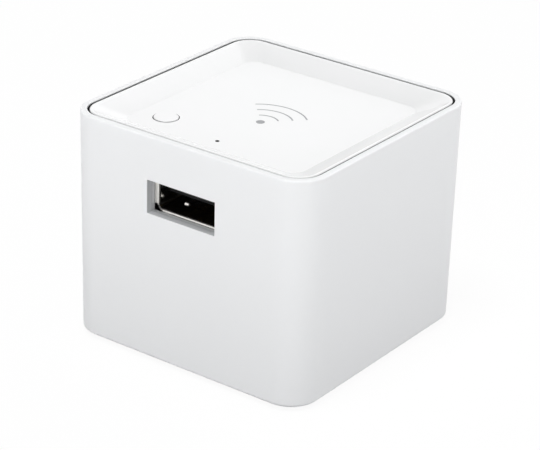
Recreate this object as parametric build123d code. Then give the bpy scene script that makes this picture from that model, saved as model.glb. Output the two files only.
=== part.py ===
from build123d import *
import math
import os

# A small smart-home gateway: a square housing with slightly drafted walls and a dished top cover
# that drops inside the rim. The cover carries a low push button and a pinhole for the status
# light. A USB-A socket opens in front; a network socket and a power inlet open behind.
# Millimetres, +Z up, front at -Y. The origin is under the middle, level with the feet's soles.

# Housing
body_width = 50.0           # across the rim, the same both ways
housing_height = 41.4       # underside of the shell to the rim
wall_draft = 0.38           # degrees; the housing narrows towards its foot
corner_radius = 5.75        # upright corners, at the rim
shell_wall = 1.15
shell_floor = 1.8
rim_round = 0.28            # outer edge of the rim
rim_inner_round = 0.06
base_round = 0.7            # lower outer edge

# Top cover
shadow_gap = 0.42           # open line between the rim and the cover
shadow_gap_depth = 2.2
cover_drop = 0.08           # cover lip below the rim
cover_land = 0.5            # flat of the lip, before the dish
lip_round = 0.2
dish_depth = 2.0            # dish floor below the rim
dish_run = 4.5              # width of the slope round the dish floor
dish_corner = 2.4
cover_thickness = 1.5
skirt_gap = 0.1             # skirt inside the shell wall
skirt_wall = 0.9
skirt_depth = 16.0          # rim to the skirt's lower edge

# Bosses, cuts and touching faces
boss_root = 0.5             # how far a boss reaches into the plate that carries it
overcut = 1.0               # how far a cut runs past the face that it opens
touch_gap = 0.02            # left between pieces that only touch

# Case screws, under the feet
post_inset = 6.6            # outer face to the middle of each corner post, both ways
post_diameter = 6.6
boss_diameter = 6.0
screw_well_diameter = 5.0
post_shoulder = 2.0         # plastic under the board that the screw head pulls on
rib_width = 1.0
case_screw_diameter = 2.5
case_screw_length = 8.0
case_head_diameter = 4.4
case_head_height = 1.7
thread_clearance = 0.03
board_hole_clearance = 0.15
screw_end_room = 1.0        # empty end of a screw hole
head_bevel_share = 0.3      # of the head's height
recess_reach_share = 0.6    # cross recess, of the head's diameter
recess_slot_share = 0.125
recess_depth_share = 0.55   # of the head's height

# Feet
foot_diameter = 8.0
foot_proud = 0.6
foot_sunk = 0.6
foot_clearance = 0.1
foot_bevel = 0.3

# Floor vents
vent_count = 5
vent_length = 16.0
vent_width = 1.6
vent_pitch = 3.2

# Push button
button_inset = 12.0         # outer faces to the button's middle, both ways
button_diameter = 4.35
button_ring_gap = 0.16
button_proud = 0.15         # cap above the dish floor
button_edge_round = 0.08
button_flange_rim = 0.9     # flange beyond the cap
button_flange_height = 0.6
button_guide_clearance = 0.05
button_guide_wall = 0.8
button_guide_height = 1.4
button_stem_diameter = 2.0
button_travel = 0.25        # down to the switch's closed contact

# Status light
light_inset = 9.5           # front face to the pinhole
light_hole_diameter = 0.75
light_nib_height = 0.7
light_guide_diameter = 2.6
light_guide_tip = 1.4
light_collar_wall = 0.8
light_collar_height = 1.2
light_clearance = 0.05
led_length = 1.6
led_width = 0.8
led_height = 0.6
led_lens_length = 1.1
led_gap = 0.3

# Boards
board_thickness = 1.6
upper_board_gap = 1.4       # upper board edge to the cover's skirt
lower_board_gap = 0.5       # lower board edge to the shell wall
board_corner = 1.5
notch_clearance = 0.5       # upper board around a corner boss

# Screws of the upper board
upper_screw_front_inset = 6.9   # board edges to the front screw
upper_screw_side_inset = 6.4    # board edges to the rear screws
upper_screw_rear_inset = 9.4
upper_boss_diameter = 4.6
upper_screw_diameter = 2.0
upper_screw_length = 4.0
upper_head_diameter = 3.6
upper_head_height = 1.3

# USB-A socket
usb_x = -0.2                # middle of the socket
usb_window_gap = 0.025      # window of the housing round the lips
usb_inner_width = 12.5
usb_inner_height = 5.12
usb_sheet = 0.3
usb_corner = 1.0
usb_cavity_depth = 10.28
usb_back = 3.72             # insulator behind the cavity
usb_face_gap = 0.05         # socket lips behind the skirt
usb_lip_side = 0.6          # how far the side lips stand out
usb_lip_top = 0.19
usb_lip_bend = 0.1          # radius behind the lips
usb_tongue_width = 11.1
usb_tongue_height = 1.84
usb_tongue_setback = 1.9
usb_tongue_drop = 0.72      # top of the cavity to the tongue
usb_tongue_bevel = 0.2
usb_contact_spots = [-3.5, -1.0, 1.0, 3.5]
usb_contact_width = 1.0
usb_contact_height = 0.3
usb_contact_setback = 1.6   # behind the tongue's tip
usb_spring_spot = 3.4
usb_spring_width = 0.8
usb_spring_start = 8.7      # root of each leaf, behind the lips
usb_spring_length = 5.0
usb_spring_nose = 0.25      # from each leaf's lowest point to its hooked tip
usb_spring_round = 0.3
usb_spring_tongue_gap = 0.3
usb_spring_sheet = 0.2
usb_spring_slot = 0.3
usb_tab_width = 2.2
usb_tab_spots = [3.6, 10.2]
usb_tab_reach = 2.2
usb_insert_clearance = 0.05

# Network socket
jack_width = 16.0
jack_side_share = 0.192     # of the free width between the rear bosses
jack_roof = 2.2             # above the plug space
jack_back = 3.0             # behind the plug space
jack_sheet = 0.25
jack_fold = 0.5
jack_insert_clearance = 0.05
port_gap = 0.1              # back sockets behind the shell wall
plug_width = 11.9
plug_height = 6.9
plug_depth = 12.6
plug_lift = 4.3             # board to the bottom of the plug space
jack_headroom = 3.26        # network socket to the upper board
latch_width = 6.4
latch_height = 1.5
latch_slot_width = 3.4
latch_slot_height = 1.3
jack_window_margin = 0.85
jack_contact_count = 8
jack_contact_pitch = 1.02
jack_contact_width = 0.4
jack_contact_thickness = 0.3
jack_contact_start = 3.0
jack_contact_foot = 1.6
jack_contact_run = 5.6
jack_contact_fall = 2.2

# Power inlet
inlet_width = 7.5
inlet_side_share = 0.2945
inlet_height = 2.7
inlet_sheet = 0.25
inlet_bevel = 0.7
inlet_cavity_depth = 4.4
inlet_back = 1.2
inlet_insert_clearance = 0.05
inlet_tongue_width = 3.9
inlet_tongue_height = 0.6
inlet_tongue_setback = 0.5
inlet_contact_count = 5
inlet_contact_pitch = 0.65
inlet_contact_width = 0.35
inlet_contact_height = 0.1
inlet_contact_setback = 0.4     # behind the tongue's tip
inlet_window_margin = 0.5
inlet_window_round = 0.6

# Tact switch under the button
switch_width = 5.2
switch_corner = 0.5
switch_height = 1.7
switch_base_height = 1.0
switch_plate = 0.2
plunger_diameter = 2.4
plunger_flange_rim = 0.3
plunger_flange_height = 0.26
plunger_clearance = 0.05
dome_diameter = 3.4
dome_clearance = 0.15       # round the disc in its pocket
dome_sheet = 0.08
dome_flat_room = 0.12       # left under the plunger when it is pressed
terminal_length = 0.8
terminal_width = 0.7
terminal_height = 0.3

# Board connector
header_inset = 2.6          # upper board edge to the connector's middle
header_y = -2.0
header_rows = 8
header_pitch = 2.54
header_pin = 0.64
header_body_width = 5.0
header_socket_height = 8.5
header_base_height = 2.5
header_pin_clearance = 0.06
header_pin_depth = 6.0      # pin reach into the socket

# Radio
radio_x = 0.0
radio_y = 4.0
radio_board_x = 18.0
radio_board_y = 14.0
radio_board_z = 0.8
can_x = 12.0
can_y = 11.0
can_z = 1.7
can_sheet = 0.2
can_corner = 0.6
can_headroom = 0.54         # can to the cover's underside
can_shift = -2.0            # the can leaves room for the antenna at one end
radio_chip_size = (6.0, 6.0)
chip_height = 0.9
antenna_x = 2.2
antenna_y = 7.0
antenna_z = 1.2
strip_antenna_length = 22.0
strip_antenna_height = 5.0
strip_antenna_sheet = 0.4
strip_antenna_feed = 2.0    # end leg to the feed leg
strip_antenna_inset = 1.9   # upper board edge to the strip
strip_antenna_width = 1.2

# Parts on the lower board
processor_size = 14.0
processor_height = 1.2
processor_y = -1.0
pad_height = 0.5
pad_margin = 0.5
sink_floor_gap = 3.5        # fins to the shell's floor
sink_base = 1.6
sink_fins = 6
sink_fin = 1.0
memory_inset = 8.68         # board edge to the middle of the memory and flash chips
memory_post_gap = 0.1       # memory chip to the rear post
memory_size = (8.0, 12.0)
flash_size = (6.0, 8.0)
transformer_gap = 1.98      # behind the network socket
transformer_size = (12.7, 7.0)
transformer_height = 5.6
transceiver_gap = 2.95      # beside the transformer
transceiver_rear_gap = 1.2
transceiver_size = (7.0, 7.0)
inductor_gap = 1.5          # beside the regulator
inductor_rear_gap = 2.0
inductor_size = 7.0
inductor_height = 4.5
inductor_corner = 1.2
inductor_bevel = 0.3
capacitor_inset = 4.68      # board edge to the middle of the two capacitors at the side
capacitor_jack_gap = 0.69
capacitor_pitch = 8.5
capacitor_inlet_gap = 2.69
capacitor_diameter = 6.3
capacitor_height = 7.7
capacitor_base = 1.2
capacitor_base_margin = 0.15
capacitor_base_bevel = 1.0
capacitor_groove_depth = 0.25
capacitor_groove_level = 0.9    # above the base
capacitor_groove_half = 0.3
capacitor_edge = 0.3
regulator_gap = 1.0         # beside the crystal
regulator_rear_gap = 2.0
regulator_size = (5.0, 4.0)
crystal_gap = 0.3           # beside the capacitors
crystal_rear_gap = 1.15
crystal_length = 11.4
crystal_width = 4.7
crystal_height = 3.5
crystal_rim = 0.3
crystal_rim_height = 0.5
crystal_bevel = 0.4
chip_bevel = 0.2
chip_dimple_diameter = 0.4
chip_dimple_depth = 0.1
chip_dimple_inset = 0.7

# Levels and widths that follow from the sizes above
draft_rate = math.tan(math.radians(wall_draft))
shell_bottom = foot_proud
rim_level = shell_bottom + housing_height
floor_top = shell_bottom + shell_floor
cover_top = rim_level - cover_drop
dish_level = rim_level - dish_depth
cover_under = dish_level - cover_thickness
skirt_bottom = rim_level - skirt_depth
step_level = rim_level - shadow_gap_depth
lip_inset = shell_wall + shadow_gap
skirt_inset = shell_wall + skirt_gap + skirt_wall
lip_half = body_width / 2 - lip_inset
dish_top_half = lip_half - cover_land
dish_half = dish_top_half - dish_run
post_spot = body_width / 2 - post_inset
post_corners = [(sx * post_spot, sy * post_spot) for sx in (-1, 1) for sy in (-1, 1)]
button_x = button_inset - body_width / 2
button_y = button_inset - body_width / 2
light_y = light_inset - body_width / 2
button_flange_diameter = button_diameter + 2 * button_flange_rim
button_bore = button_flange_diameter + 2 * button_guide_clearance
light_bore = light_guide_diameter + 2 * light_clearance
light_nib_diameter = light_hole_diameter - 2 * light_clearance
upper_board_top = cover_under - can_headroom - can_z - radio_board_z
upper_board_under = upper_board_top - board_thickness
jack_height = plug_lift + plug_height + jack_roof
jack_length = plug_depth + jack_back
lower_board_top = upper_board_under - jack_headroom - jack_height
lower_board_under = lower_board_top - board_thickness
sink_height = lower_board_under - processor_height - pad_height - floor_top - sink_floor_gap
usb_outer_width = usb_inner_width + 2 * usb_sheet
usb_outer_height = usb_inner_height + 2 * usb_sheet
usb_window_width = usb_outer_width + 2 * (usb_lip_side + usb_window_gap)
usb_window_height = usb_outer_height + 2 * (usb_lip_top + usb_window_gap)
usb_axis = upper_board_under - usb_outer_height / 2
usb_lip_depth = usb_lip_bend + usb_sheet
usb_length = usb_cavity_depth + usb_back
usb_spring_dip = usb_tongue_drop - usb_spring_tongue_gap
radio_chip_spot = (radio_x + can_shift, radio_y)
plunger_bottom = switch_base_height - touch_gap - plunger_flange_height
plunger_flange_diameter = plunger_diameter + 2 * plunger_flange_rim
switch_pocket_diameter = dome_diameter + 2 * dome_clearance
switch_pocket_floor = plunger_bottom - button_travel - dome_flat_room


def half_at(level, inset=0.0):
    """Half width of the drafted form at a level, moved in by inset."""
    return body_width / 2 - (rim_level - level) * draft_rate - inset


def drafted(inset, low, high):
    """Block with the housing's draft and corners, moved in by inset, between two levels."""
    sections = []
    for level in (low, high):
        half = half_at(level, inset)
        radius = corner_radius - (body_width / 2 - half)
        sections.append(Pos(0, 0, level) * RectangleRounded(2 * half, 2 * half, radius))
    return loft(sections, ruled=True)


def block(low, high):
    """Straight block between two corners."""
    size = [high[i] - low[i] for i in range(3)]
    middle = [(high[i] + low[i]) / 2 for i in range(3)]
    return Pos(*middle) * Box(*size)


def upright(profile, low, high):
    """Flat profile, raised from one level to another."""
    return extrude(Pos(0, 0, low) * profile, amount=high - low)


def rod(x, y, diameter, low, high):
    """Round bar standing at x, y."""
    return upright(Pos(x, y) * Circle(diameter / 2), low, high)


def along_y(profile, front, back):
    """Profile drawn as seen from the front, run from the front to the back."""
    plane = Plane(origin=(0, back, 0), x_dir=(1, 0, 0), z_dir=(0, -1, 0))
    return extrude(plane * profile, amount=back - front)


def along_x(profile, left, right):
    """Profile drawn as seen from +X, with Y to the right, run from left to right."""
    plane = Plane(origin=(left, 0, 0), x_dir=(0, 1, 0), z_dir=(1, 0, 0))
    return extrude(plane * profile, amount=right - left)


def turned(points):
    """Solid of revolution about Z from radius and level pairs."""
    outline = make_face(Polyline([(r, 0, z) for r, z in points], close=True))
    return revolve(outline, axis=Axis.Z)


def edges_at(solid, level, beyond=0.0, within=2 * body_width, tolerance=0.01):
    """Level edges of a solid at one height, whose reach from the middle lies between two limits."""
    found = []
    for edge in solid.edges():
        box = edge.bounding_box()
        reach = max(-box.min.X, box.max.X, -box.min.Y, box.max.Y)
        level_edge = abs(box.min.Z - level) < tolerance and abs(box.max.Z - level) < tolerance
        if level_edge and beyond < reach < within:
            found.append(edge)
    return found


usb_face = usb_face_gap - half_at(usb_axis, skirt_inset)
port_face = half_at(lower_board_top, shell_wall) - port_gap
port_room = 2 * (post_spot - boss_diameter / 2) - jack_width - inlet_width
jack_x = boss_diameter / 2 - post_spot + port_room * jack_side_share + jack_width / 2
inlet_x = post_spot - boss_diameter / 2 - port_room * inlet_side_share - inlet_width / 2
jack_rear = port_face - jack_length
jack_plug_bottom = lower_board_top + plug_lift
plug_top = jack_plug_bottom + plug_height
latch_bottom = jack_plug_bottom - latch_height - latch_slot_height
inlet_length = inlet_cavity_depth + inlet_back
upper_board_half = half_at(upper_board_under, skirt_inset) - upper_board_gap
upper_screw_x = upper_board_half - upper_screw_side_inset
upper_screw_front = upper_board_half - upper_screw_front_inset
upper_screw_rear = upper_board_half - upper_screw_rear_inset
upper_screw_spots = [
    (upper_screw_front, -upper_screw_front),
    (-upper_screw_x, upper_screw_rear),
    (upper_screw_x, upper_screw_rear),
]
header_x = upper_board_half - header_inset
strip_antenna_x = strip_antenna_inset - upper_board_half
lower_board_half = half_at(lower_board_under, shell_wall) - lower_board_gap
memory_x = lower_board_half - memory_inset
memory_y = post_spot - post_diameter / 2 - memory_post_gap - memory_size[1] / 2
transformer_y = jack_rear - transformer_gap - transformer_size[1] / 2
transformer_front = transformer_y - transformer_size[1] / 2
capacitor_half = capacitor_diameter / 2 + capacitor_base_margin
capacitor_x = capacitor_inset - lower_board_half
capacitor_y = jack_rear - capacitor_jack_gap - capacitor_half
inlet_capacitor_y = port_face - inlet_length - capacitor_inlet_gap - capacitor_half
transceiver_x = jack_x + transformer_size[0] / 2 + transceiver_gap + transceiver_size[0] / 2
transceiver_y = inlet_capacitor_y - capacitor_half - transceiver_rear_gap - transceiver_size[1] / 2
crystal_x = capacitor_x + capacitor_half + crystal_gap + crystal_length / 2
crystal_y = transformer_front - crystal_rear_gap - crystal_width / 2
regulator_x = crystal_x + crystal_length / 2 + regulator_gap + regulator_size[0] / 2
regulator_y = transformer_front - regulator_rear_gap - regulator_size[1] / 2
inductor_x = regulator_x + regulator_size[0] / 2 + inductor_gap + inductor_size / 2
inductor_y = transceiver_y - transceiver_size[1] / 2 - inductor_rear_gap - inductor_size / 2


def usb_window(margin=0.0):
    """Sharp-cornered window in front of the USB socket."""
    return Pos(usb_x, usb_axis) * Rectangle(usb_window_width + 2 * margin, usb_window_height + 2 * margin)


def corner_post(x, y):
    """Post of the shell that carries the lower board, before its screw well is cut."""
    rib = corner_rib(x, y, rib_width, floor_top - boss_root, lower_board_under - rib_width)
    rib = rib & drafted(shell_wall / 2, shell_bottom, lower_board_under)
    return rib + rod(x, y, post_diameter, floor_top - boss_root, lower_board_under)


def outer_shell():
    body = drafted(0, shell_bottom, rim_level)
    body = fillet(edges_at(body, shell_bottom), base_round)
    body -= drafted(shell_wall, floor_top, rim_level)
    middle_of_rim = half_at(rim_level, shell_wall / 2)
    body = fillet(edges_at(body, rim_level, beyond=middle_of_rim), rim_round)
    body = fillet(edges_at(body, rim_level, within=middle_of_rim), rim_inner_round)
    foot_recess = foot_diameter + 2 * foot_clearance
    screw_hole = case_screw_diameter + 2 * board_hole_clearance
    for x, y in post_corners:
        body += corner_post(x, y)
        body -= rod(x, y, foot_recess, 0, shell_bottom + foot_sunk)
        body -= rod(x, y, screw_well_diameter, shell_bottom, lower_board_under - post_shoulder)
        body -= rod(x, y, screw_hole, shell_bottom, lower_board_top)
    for row in range(vent_count):
        y = processor_y + (row - (vent_count - 1) / 2) * vent_pitch
        body -= upright(Pos(0, y) * SlotOverall(vent_length, vent_width), 0, floor_top + overcut)
    body -= along_y(usb_window(), -body_width, usb_face)
    window_bottom = latch_bottom - jack_window_margin
    window_top = plug_top + jack_window_margin
    jack_window = Pos(jack_x, (window_bottom + window_top) / 2) * Rectangle(
        plug_width + 2 * jack_window_margin, window_top - window_bottom
    )
    body -= along_y(jack_window, port_face, body_width)
    inlet_window = Pos(inlet_x, lower_board_top + inlet_height / 2) * RectangleRounded(
        inlet_width + 2 * inlet_window_margin, inlet_height + 2 * inlet_window_margin, inlet_window_round
    )
    return body - along_y(inlet_window, port_face, body_width)


def dish(floor_level, floor_half, top_level, top_half):
    """Sloping pocket of the cover, between two levels."""
    top_radius = corner_radius - (body_width / 2 - top_half)
    low = Pos(0, 0, floor_level) * RectangleRounded(2 * floor_half, 2 * floor_half, dish_corner)
    high = Pos(0, 0, top_level) * RectangleRounded(2 * top_half, 2 * top_half, top_radius)
    return loft([low, high], ruled=True)


def top_cover():
    lip_radius = corner_radius - lip_inset
    lip_outline = RectangleRounded(2 * lip_half, 2 * lip_half, lip_radius)
    lip = upright(lip_outline, step_level - boss_root, cover_top)
    body = drafted(shell_wall + skirt_gap, skirt_bottom, step_level) + lip
    body = fillet(edges_at(body, cover_top), lip_round)
    body -= dish(dish_level, dish_half, cover_top, dish_top_half)
    slope_rise = cover_top - dish_level
    hollow = drafted(skirt_inset, skirt_bottom - overcut, cover_under + slope_rise)
    body -= hollow - dish(cover_under, dish_half, cover_under + slope_rise, dish_top_half)
    for x, y in post_corners:
        body += corner_boss(x, y)
    for x, y in upper_screw_spots:
        body += rod(x, y, upper_boss_diameter, upper_board_top, cover_under + boss_root)
    body += collar(button_x, button_y, button_bore, button_guide_wall, button_guide_height)
    body -= rod(button_x, button_y, button_diameter + 2 * button_ring_gap, cover_under - overcut, rim_level)
    body += collar(0, light_y, light_bore, light_collar_wall, light_collar_height)
    body -= rod(0, light_y, light_hole_diameter, cover_under - overcut, rim_level)
    hole = case_screw_diameter + 2 * thread_clearance
    hole_end = lower_board_top + case_screw_length - post_shoulder - board_thickness + screw_end_room
    for x, y in post_corners:
        body -= rod(x, y, hole, lower_board_top - overcut, hole_end)
    hole = upper_screw_diameter + 2 * thread_clearance
    hole_end = upper_board_top + upper_screw_length - board_thickness
    for x, y in upper_screw_spots:
        body -= rod(x, y, hole, upper_board_top - overcut, hole_end)
    body -= along_y(usb_window(skirt_gap / 2), -body_width, usb_face + usb_lip_depth)
    return body - along_y(jack_notch(), post_spot, body_width)


def corner_rib(x, y, width, low, high):
    """Thin rib from a post or boss towards its corner of the housing."""
    angle = math.degrees(math.atan2(y, x))
    outline = Pos(x, y) * Rot(0, 0, angle) * Pos(corner_radius / 2, 0) * Rectangle(corner_radius, width)
    return upright(outline, low, high)


def corner_boss(x, y):
    """Boss of the cover that presses on the lower board and takes a case screw."""
    boss_top = cover_under + boss_root
    rib = corner_rib(x, y, rib_width, skirt_bottom + rib_width, boss_top)
    rib = rib & drafted(shell_wall + skirt_gap + skirt_wall / 2, skirt_bottom, boss_top)
    return rib + rod(x, y, boss_diameter, lower_board_top, boss_top)


def collar(x, y, bore, wall, height):
    """Ring that hangs from the cover's plate and guides what stands in it."""
    ring = Circle(bore / 2 + wall) - Circle(bore / 2)
    return upright(Pos(x, y) * ring, cover_under - height, cover_under)


def jack_notch():
    """Notch of the skirt above the network socket, open below."""
    width = jack_width + 4 * port_gap
    height = jack_height + 2 * port_gap
    return Pos(jack_x, lower_board_top + height / 2) * Rectangle(width, height)


def button_cap():
    """Low cap, its flange under the cover and the stem that presses the switch."""
    radius = button_diameter / 2
    flange = button_flange_diameter / 2
    stem = button_stem_diameter / 2
    flange_top = cover_under
    flange_bottom = flange_top - button_flange_height
    stem_end = upper_board_top + switch_height
    edge = button_edge_round
    cap_top = dish_level + button_proud
    profile = [
        (0, stem_end), (stem, stem_end), (stem, flange_bottom), (flange, flange_bottom),
        (flange, flange_top - touch_gap), (radius, flange_top - touch_gap),
        (radius, cap_top - edge), (radius - edge, cap_top), (0, cap_top),
    ]
    return Pos(button_x, button_y, 0) * turned(profile)


def light_guide():
    """Clear guide from the status light to the pinhole."""
    radius = light_guide_diameter / 2
    nib = light_nib_diameter / 2
    tip = light_guide_tip / 2
    bottom = upper_board_top + led_height + led_gap
    shoulder = cover_under - light_collar_height
    profile = [
        (0, bottom), (tip, bottom), (radius, shoulder), (radius, cover_under),
        (nib, cover_under), (nib, cover_under + light_nib_height), (0, cover_under + light_nib_height),
    ]
    return Pos(0, light_y, 0) * turned(profile)


def foot(x, y):
    """Round stick-on foot in its recess."""
    body = rod(x, y, foot_diameter, 0, shell_bottom + foot_sunk)
    return chamfer(edges_at(body, 0), foot_bevel)


def screw(x, y, seat, shank_diameter, shank_length, head_diameter, head_height):
    """Pan-head screw driven upwards, with a cross recess; the head's seat is at the given level."""
    head_bottom = seat - head_height
    body = rod(x, y, head_diameter, head_bottom, seat)
    body = chamfer(edges_at(body, head_bottom), head_height * head_bevel_share)
    body += rod(x, y, shank_diameter, seat - head_height / 2, seat + shank_length)
    slot = Rectangle(head_diameter * recess_reach_share, head_diameter * recess_slot_share)
    cross = Pos(x, y) * (slot + Rot(0, 0, 90) * slot)
    return body - upright(cross, head_bottom - overcut, head_bottom + head_height * recess_depth_share)


def case_screws():
    seat = lower_board_under - post_shoulder
    return [
        screw(x, y, seat, case_screw_diameter, case_screw_length, case_head_diameter, case_head_height)
        for x, y in post_corners
    ]


def upper_board_screws():
    return [
        screw(x, y, upper_board_under, upper_screw_diameter, upper_screw_length - touch_gap,
              upper_head_diameter, upper_head_height)
        for x, y in upper_screw_spots
    ]


def usb_tab_x(side):
    """Middle of a side wall of the USB shell."""
    return usb_x + side * (usb_outer_width / 2 - usb_sheet / 2)


def upper_board():
    outline = RectangleRounded(2 * upper_board_half, 2 * upper_board_half, board_corner)
    for x, y in post_corners:
        outline -= Pos(x, y) * Circle(boss_diameter / 2 + notch_clearance)
        corner = upper_board_half + overcut
        sx = math.copysign(1, x)
        sy = math.copysign(1, y)
        outline -= Pos((x + sx * corner) / 2, (y + sy * corner) / 2) * Rectangle(
            corner - post_spot, corner - post_spot)
    for x, y in upper_screw_spots:
        outline -= Pos(x, y) * Circle(upper_screw_diameter / 2 + board_hole_clearance)
    for side in (-1, 1):
        for spot in usb_tab_spots:
            outline -= Pos(usb_tab_x(side), usb_face + spot) * Rectangle(
                usb_sheet + 2 * board_hole_clearance, usb_tab_width + 2 * board_hole_clearance
            )
    return upright(outline, upper_board_under, upper_board_top)


def lower_board():
    size = 2 * lower_board_half
    outline = RectangleRounded(size, size, corner_radius - shell_wall - lower_board_gap)
    for x, y in post_corners:
        outline -= Pos(x, y) * Circle(case_screw_diameter / 2 + board_hole_clearance)
    return upright(outline, lower_board_under, lower_board_top)


def bent_lip(outward, wall, reach, half_length):
    """Strip of one wall of the shell, between its corners, that bends outwards to the window."""
    bend = usb_lip_bend
    depth = usb_lip_depth
    back = depth + usb_sheet
    near = CenterArc((bend, depth), bend, 180, 90)
    far = CenterArc((bend, depth), bend + usb_sheet, 180, 90)
    outline = Line((0, back), (0, depth)) + near + Line((bend, usb_sheet), (reach, usb_sheet))
    outline += Line((reach, usb_sheet), (reach, 0)) + Line((reach, 0), (bend, 0)) + far
    outline += Line((-usb_sheet, depth), (-usb_sheet, back)) + Line((-usb_sheet, back), (0, back))
    away = Vector(*outward)
    origin = Vector(usb_x, usb_face, usb_axis) + away * wall
    plane = Plane(origin=origin, x_dir=away, z_dir=away.cross(Vector(0, 1, 0)))
    return extrude(plane * make_face(outline), amount=half_length, both=True)


def usb_leaf(x, side):
    """Spring leaf that dips into the socket from its upper or lower wall."""
    wall = usb_axis + side * usb_inner_height / 2
    outside = wall + side * usb_sheet
    root = usb_face + usb_spring_start
    tip = root - usb_spring_length
    bend = tip + usb_spring_nose
    sheet = side * usb_spring_sheet
    dip = wall - side * usb_spring_dip
    profile = Polyline([
        (root, outside), (root, outside - sheet), (bend, dip), (tip, wall), (tip + usb_spring_sheet, wall),
        (bend + usb_spring_sheet / 2, dip + sheet),
    ], close=True)
    leaf = along_x(make_face(profile), x - usb_spring_width / 2, x + usb_spring_width / 2)
    nose = leaf.edges().filter_by(Axis.X).sort_by(Axis.Z)[-1 if side < 0 else 0]
    return fillet(nose, usb_spring_round)


def usb_socket_shell():
    back = usb_face + usb_length
    outer = RectangleRounded(usb_outer_width, usb_outer_height, usb_corner)
    inner = RectangleRounded(usb_inner_width, usb_inner_height, usb_corner - usb_sheet)
    body = along_y(Pos(usb_x, usb_axis) * outer, usb_face, back)
    body -= along_y(Pos(usb_x, usb_axis) * inner, usb_face - overcut, back + overcut)
    side_length = usb_outer_height / 2 - usb_corner
    top_length = usb_outer_width / 2 - usb_corner
    straight = Rectangle(usb_outer_width, 2 * side_length) + Rectangle(2 * top_length, usb_outer_height)
    body -= along_y(Pos(usb_x, usb_axis) * straight, usb_face - overcut, usb_face + usb_lip_depth)
    for sign in (-1, 1):
        body += bent_lip((sign, 0, 0), usb_outer_width / 2, usb_lip_side, side_length)
        body += bent_lip((0, 0, sign), usb_outer_height / 2, usb_lip_top, top_length)
    for side in (-1, 1):
        for x in (usb_x - usb_spring_spot, usb_x + usb_spring_spot):
            low = usb_axis + side * (usb_inner_height / 2 + usb_sheet / 2)
            half = usb_spring_width / 2 + usb_spring_slot
            root = usb_face + usb_spring_start
            tip = root - usb_spring_length - usb_spring_slot
            body -= block((x - half, tip, low - usb_sheet), (x + half, root, low + usb_sheet))
            body += usb_leaf(x, side)
    for side in (-1, 1):
        for spot in usb_tab_spots:
            x = usb_tab_x(side)
            y = usb_face + spot
            body += block(
                (x - usb_sheet / 2, y - usb_tab_width / 2, upper_board_under - usb_corner - usb_sheet),
                (x + usb_sheet / 2, y + usb_tab_width / 2, upper_board_under + usb_tab_reach),
            )
    return body


def tongue_levels():
    top = usb_axis + usb_inner_height / 2 - usb_tongue_drop
    return top - usb_tongue_height, top


def usb_socket_tongue():
    """Insulator: the block behind the cavity and the tongue that carries the contacts."""
    low, top = tongue_levels()
    width = usb_inner_width - 2 * usb_insert_clearance
    height = usb_inner_height - 2 * usb_insert_clearance
    plug = Pos(usb_x, usb_axis) * RectangleRounded(width, height, usb_corner - usb_sheet)
    rear = along_y(plug, usb_face + usb_cavity_depth, usb_face + usb_length)
    tip = usb_face + usb_tongue_setback
    profile = Polyline([
        (tip, low + usb_tongue_bevel), (tip + usb_tongue_bevel, low),
        (usb_face + usb_length, low), (usb_face + usb_length, top),
        (tip + usb_tongue_bevel, top), (tip, top - usb_tongue_bevel),
    ], close=True)
    tongue = along_x(make_face(profile), usb_x - usb_tongue_width / 2, usb_x + usb_tongue_width / 2)
    return rear + tongue


def usb_socket_contacts():
    low, top = tongue_levels()
    start = usb_face + usb_tongue_setback + usb_contact_setback
    end = usb_face + usb_cavity_depth - touch_gap
    pieces = []
    for spot in usb_contact_spots:
        x = usb_x + spot
        pieces.append(block(
            (x - usb_contact_width / 2, start, low - usb_contact_height),
            (x + usb_contact_width / 2, end, low),
        ))
    return pieces


def switch_level(height):
    return upper_board_top + height


def switch_base():
    outline = Pos(button_x, button_y) * RectangleRounded(switch_width, switch_width, switch_corner)
    body = upright(outline, switch_level(0), switch_level(switch_base_height))
    pocket_low = switch_level(switch_pocket_floor)
    return body - rod(button_x, button_y, switch_pocket_diameter, pocket_low, rim_level)


def switch_plate_cover():
    outline = Pos(button_x, button_y) * RectangleRounded(switch_width, switch_width, switch_corner)
    top = switch_base_height + switch_plate
    body = upright(outline, switch_level(switch_base_height), switch_level(top))
    hole = plunger_diameter + 2 * plunger_clearance
    return body - rod(button_x, button_y, hole, switch_level(0), rim_level)


def switch_plunger():
    flange_top = plunger_bottom + plunger_flange_height
    profile = [
        (0, plunger_bottom), (plunger_flange_diameter / 2, plunger_bottom),
        (plunger_flange_diameter / 2, flange_top), (plunger_diameter / 2, flange_top),
        (plunger_diameter / 2, switch_height), (0, switch_height),
    ]
    return Pos(button_x, button_y, upper_board_top) * turned(profile)


def switch_dome():
    """Snap disc that the plunger pushes through."""
    rise = plunger_bottom - touch_gap - switch_pocket_floor
    half = dome_diameter / 2
    arc_radius = (half * half + rise * rise) / (2 * rise)
    centre = switch_level(switch_pocket_floor) + rise - arc_radius
    shell = Sphere(arc_radius) - Sphere(arc_radius - dome_sheet)
    cap = Pos(button_x, button_y, centre) * shell
    return cap & rod(button_x, button_y, dome_diameter * 2, switch_level(switch_pocket_floor), rim_level)


def switch_terminals():
    pieces = []
    for sx in (-1, 1):
        for sy in (-1, 1):
            x = button_x + sx * (switch_width + terminal_length) / 2
            y = button_y + sy * switch_width / 4
            pieces.append(block(
                (x - terminal_length / 2, y - terminal_width / 2, switch_level(0)),
                (x + terminal_length / 2, y + terminal_width / 2, switch_level(terminal_height)),
            ))
    return pieces


def status_led():
    middle = upper_board_top + led_height / 2
    base = Pos(0, light_y) * Rectangle(led_length, led_width)
    lens = Pos(0, light_y) * Rectangle(led_lens_length, led_width)
    return upright(base, upper_board_top, middle) + upright(lens, middle, upper_board_top + led_height)


def jack_span():
    return jack_rear, port_face


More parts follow.
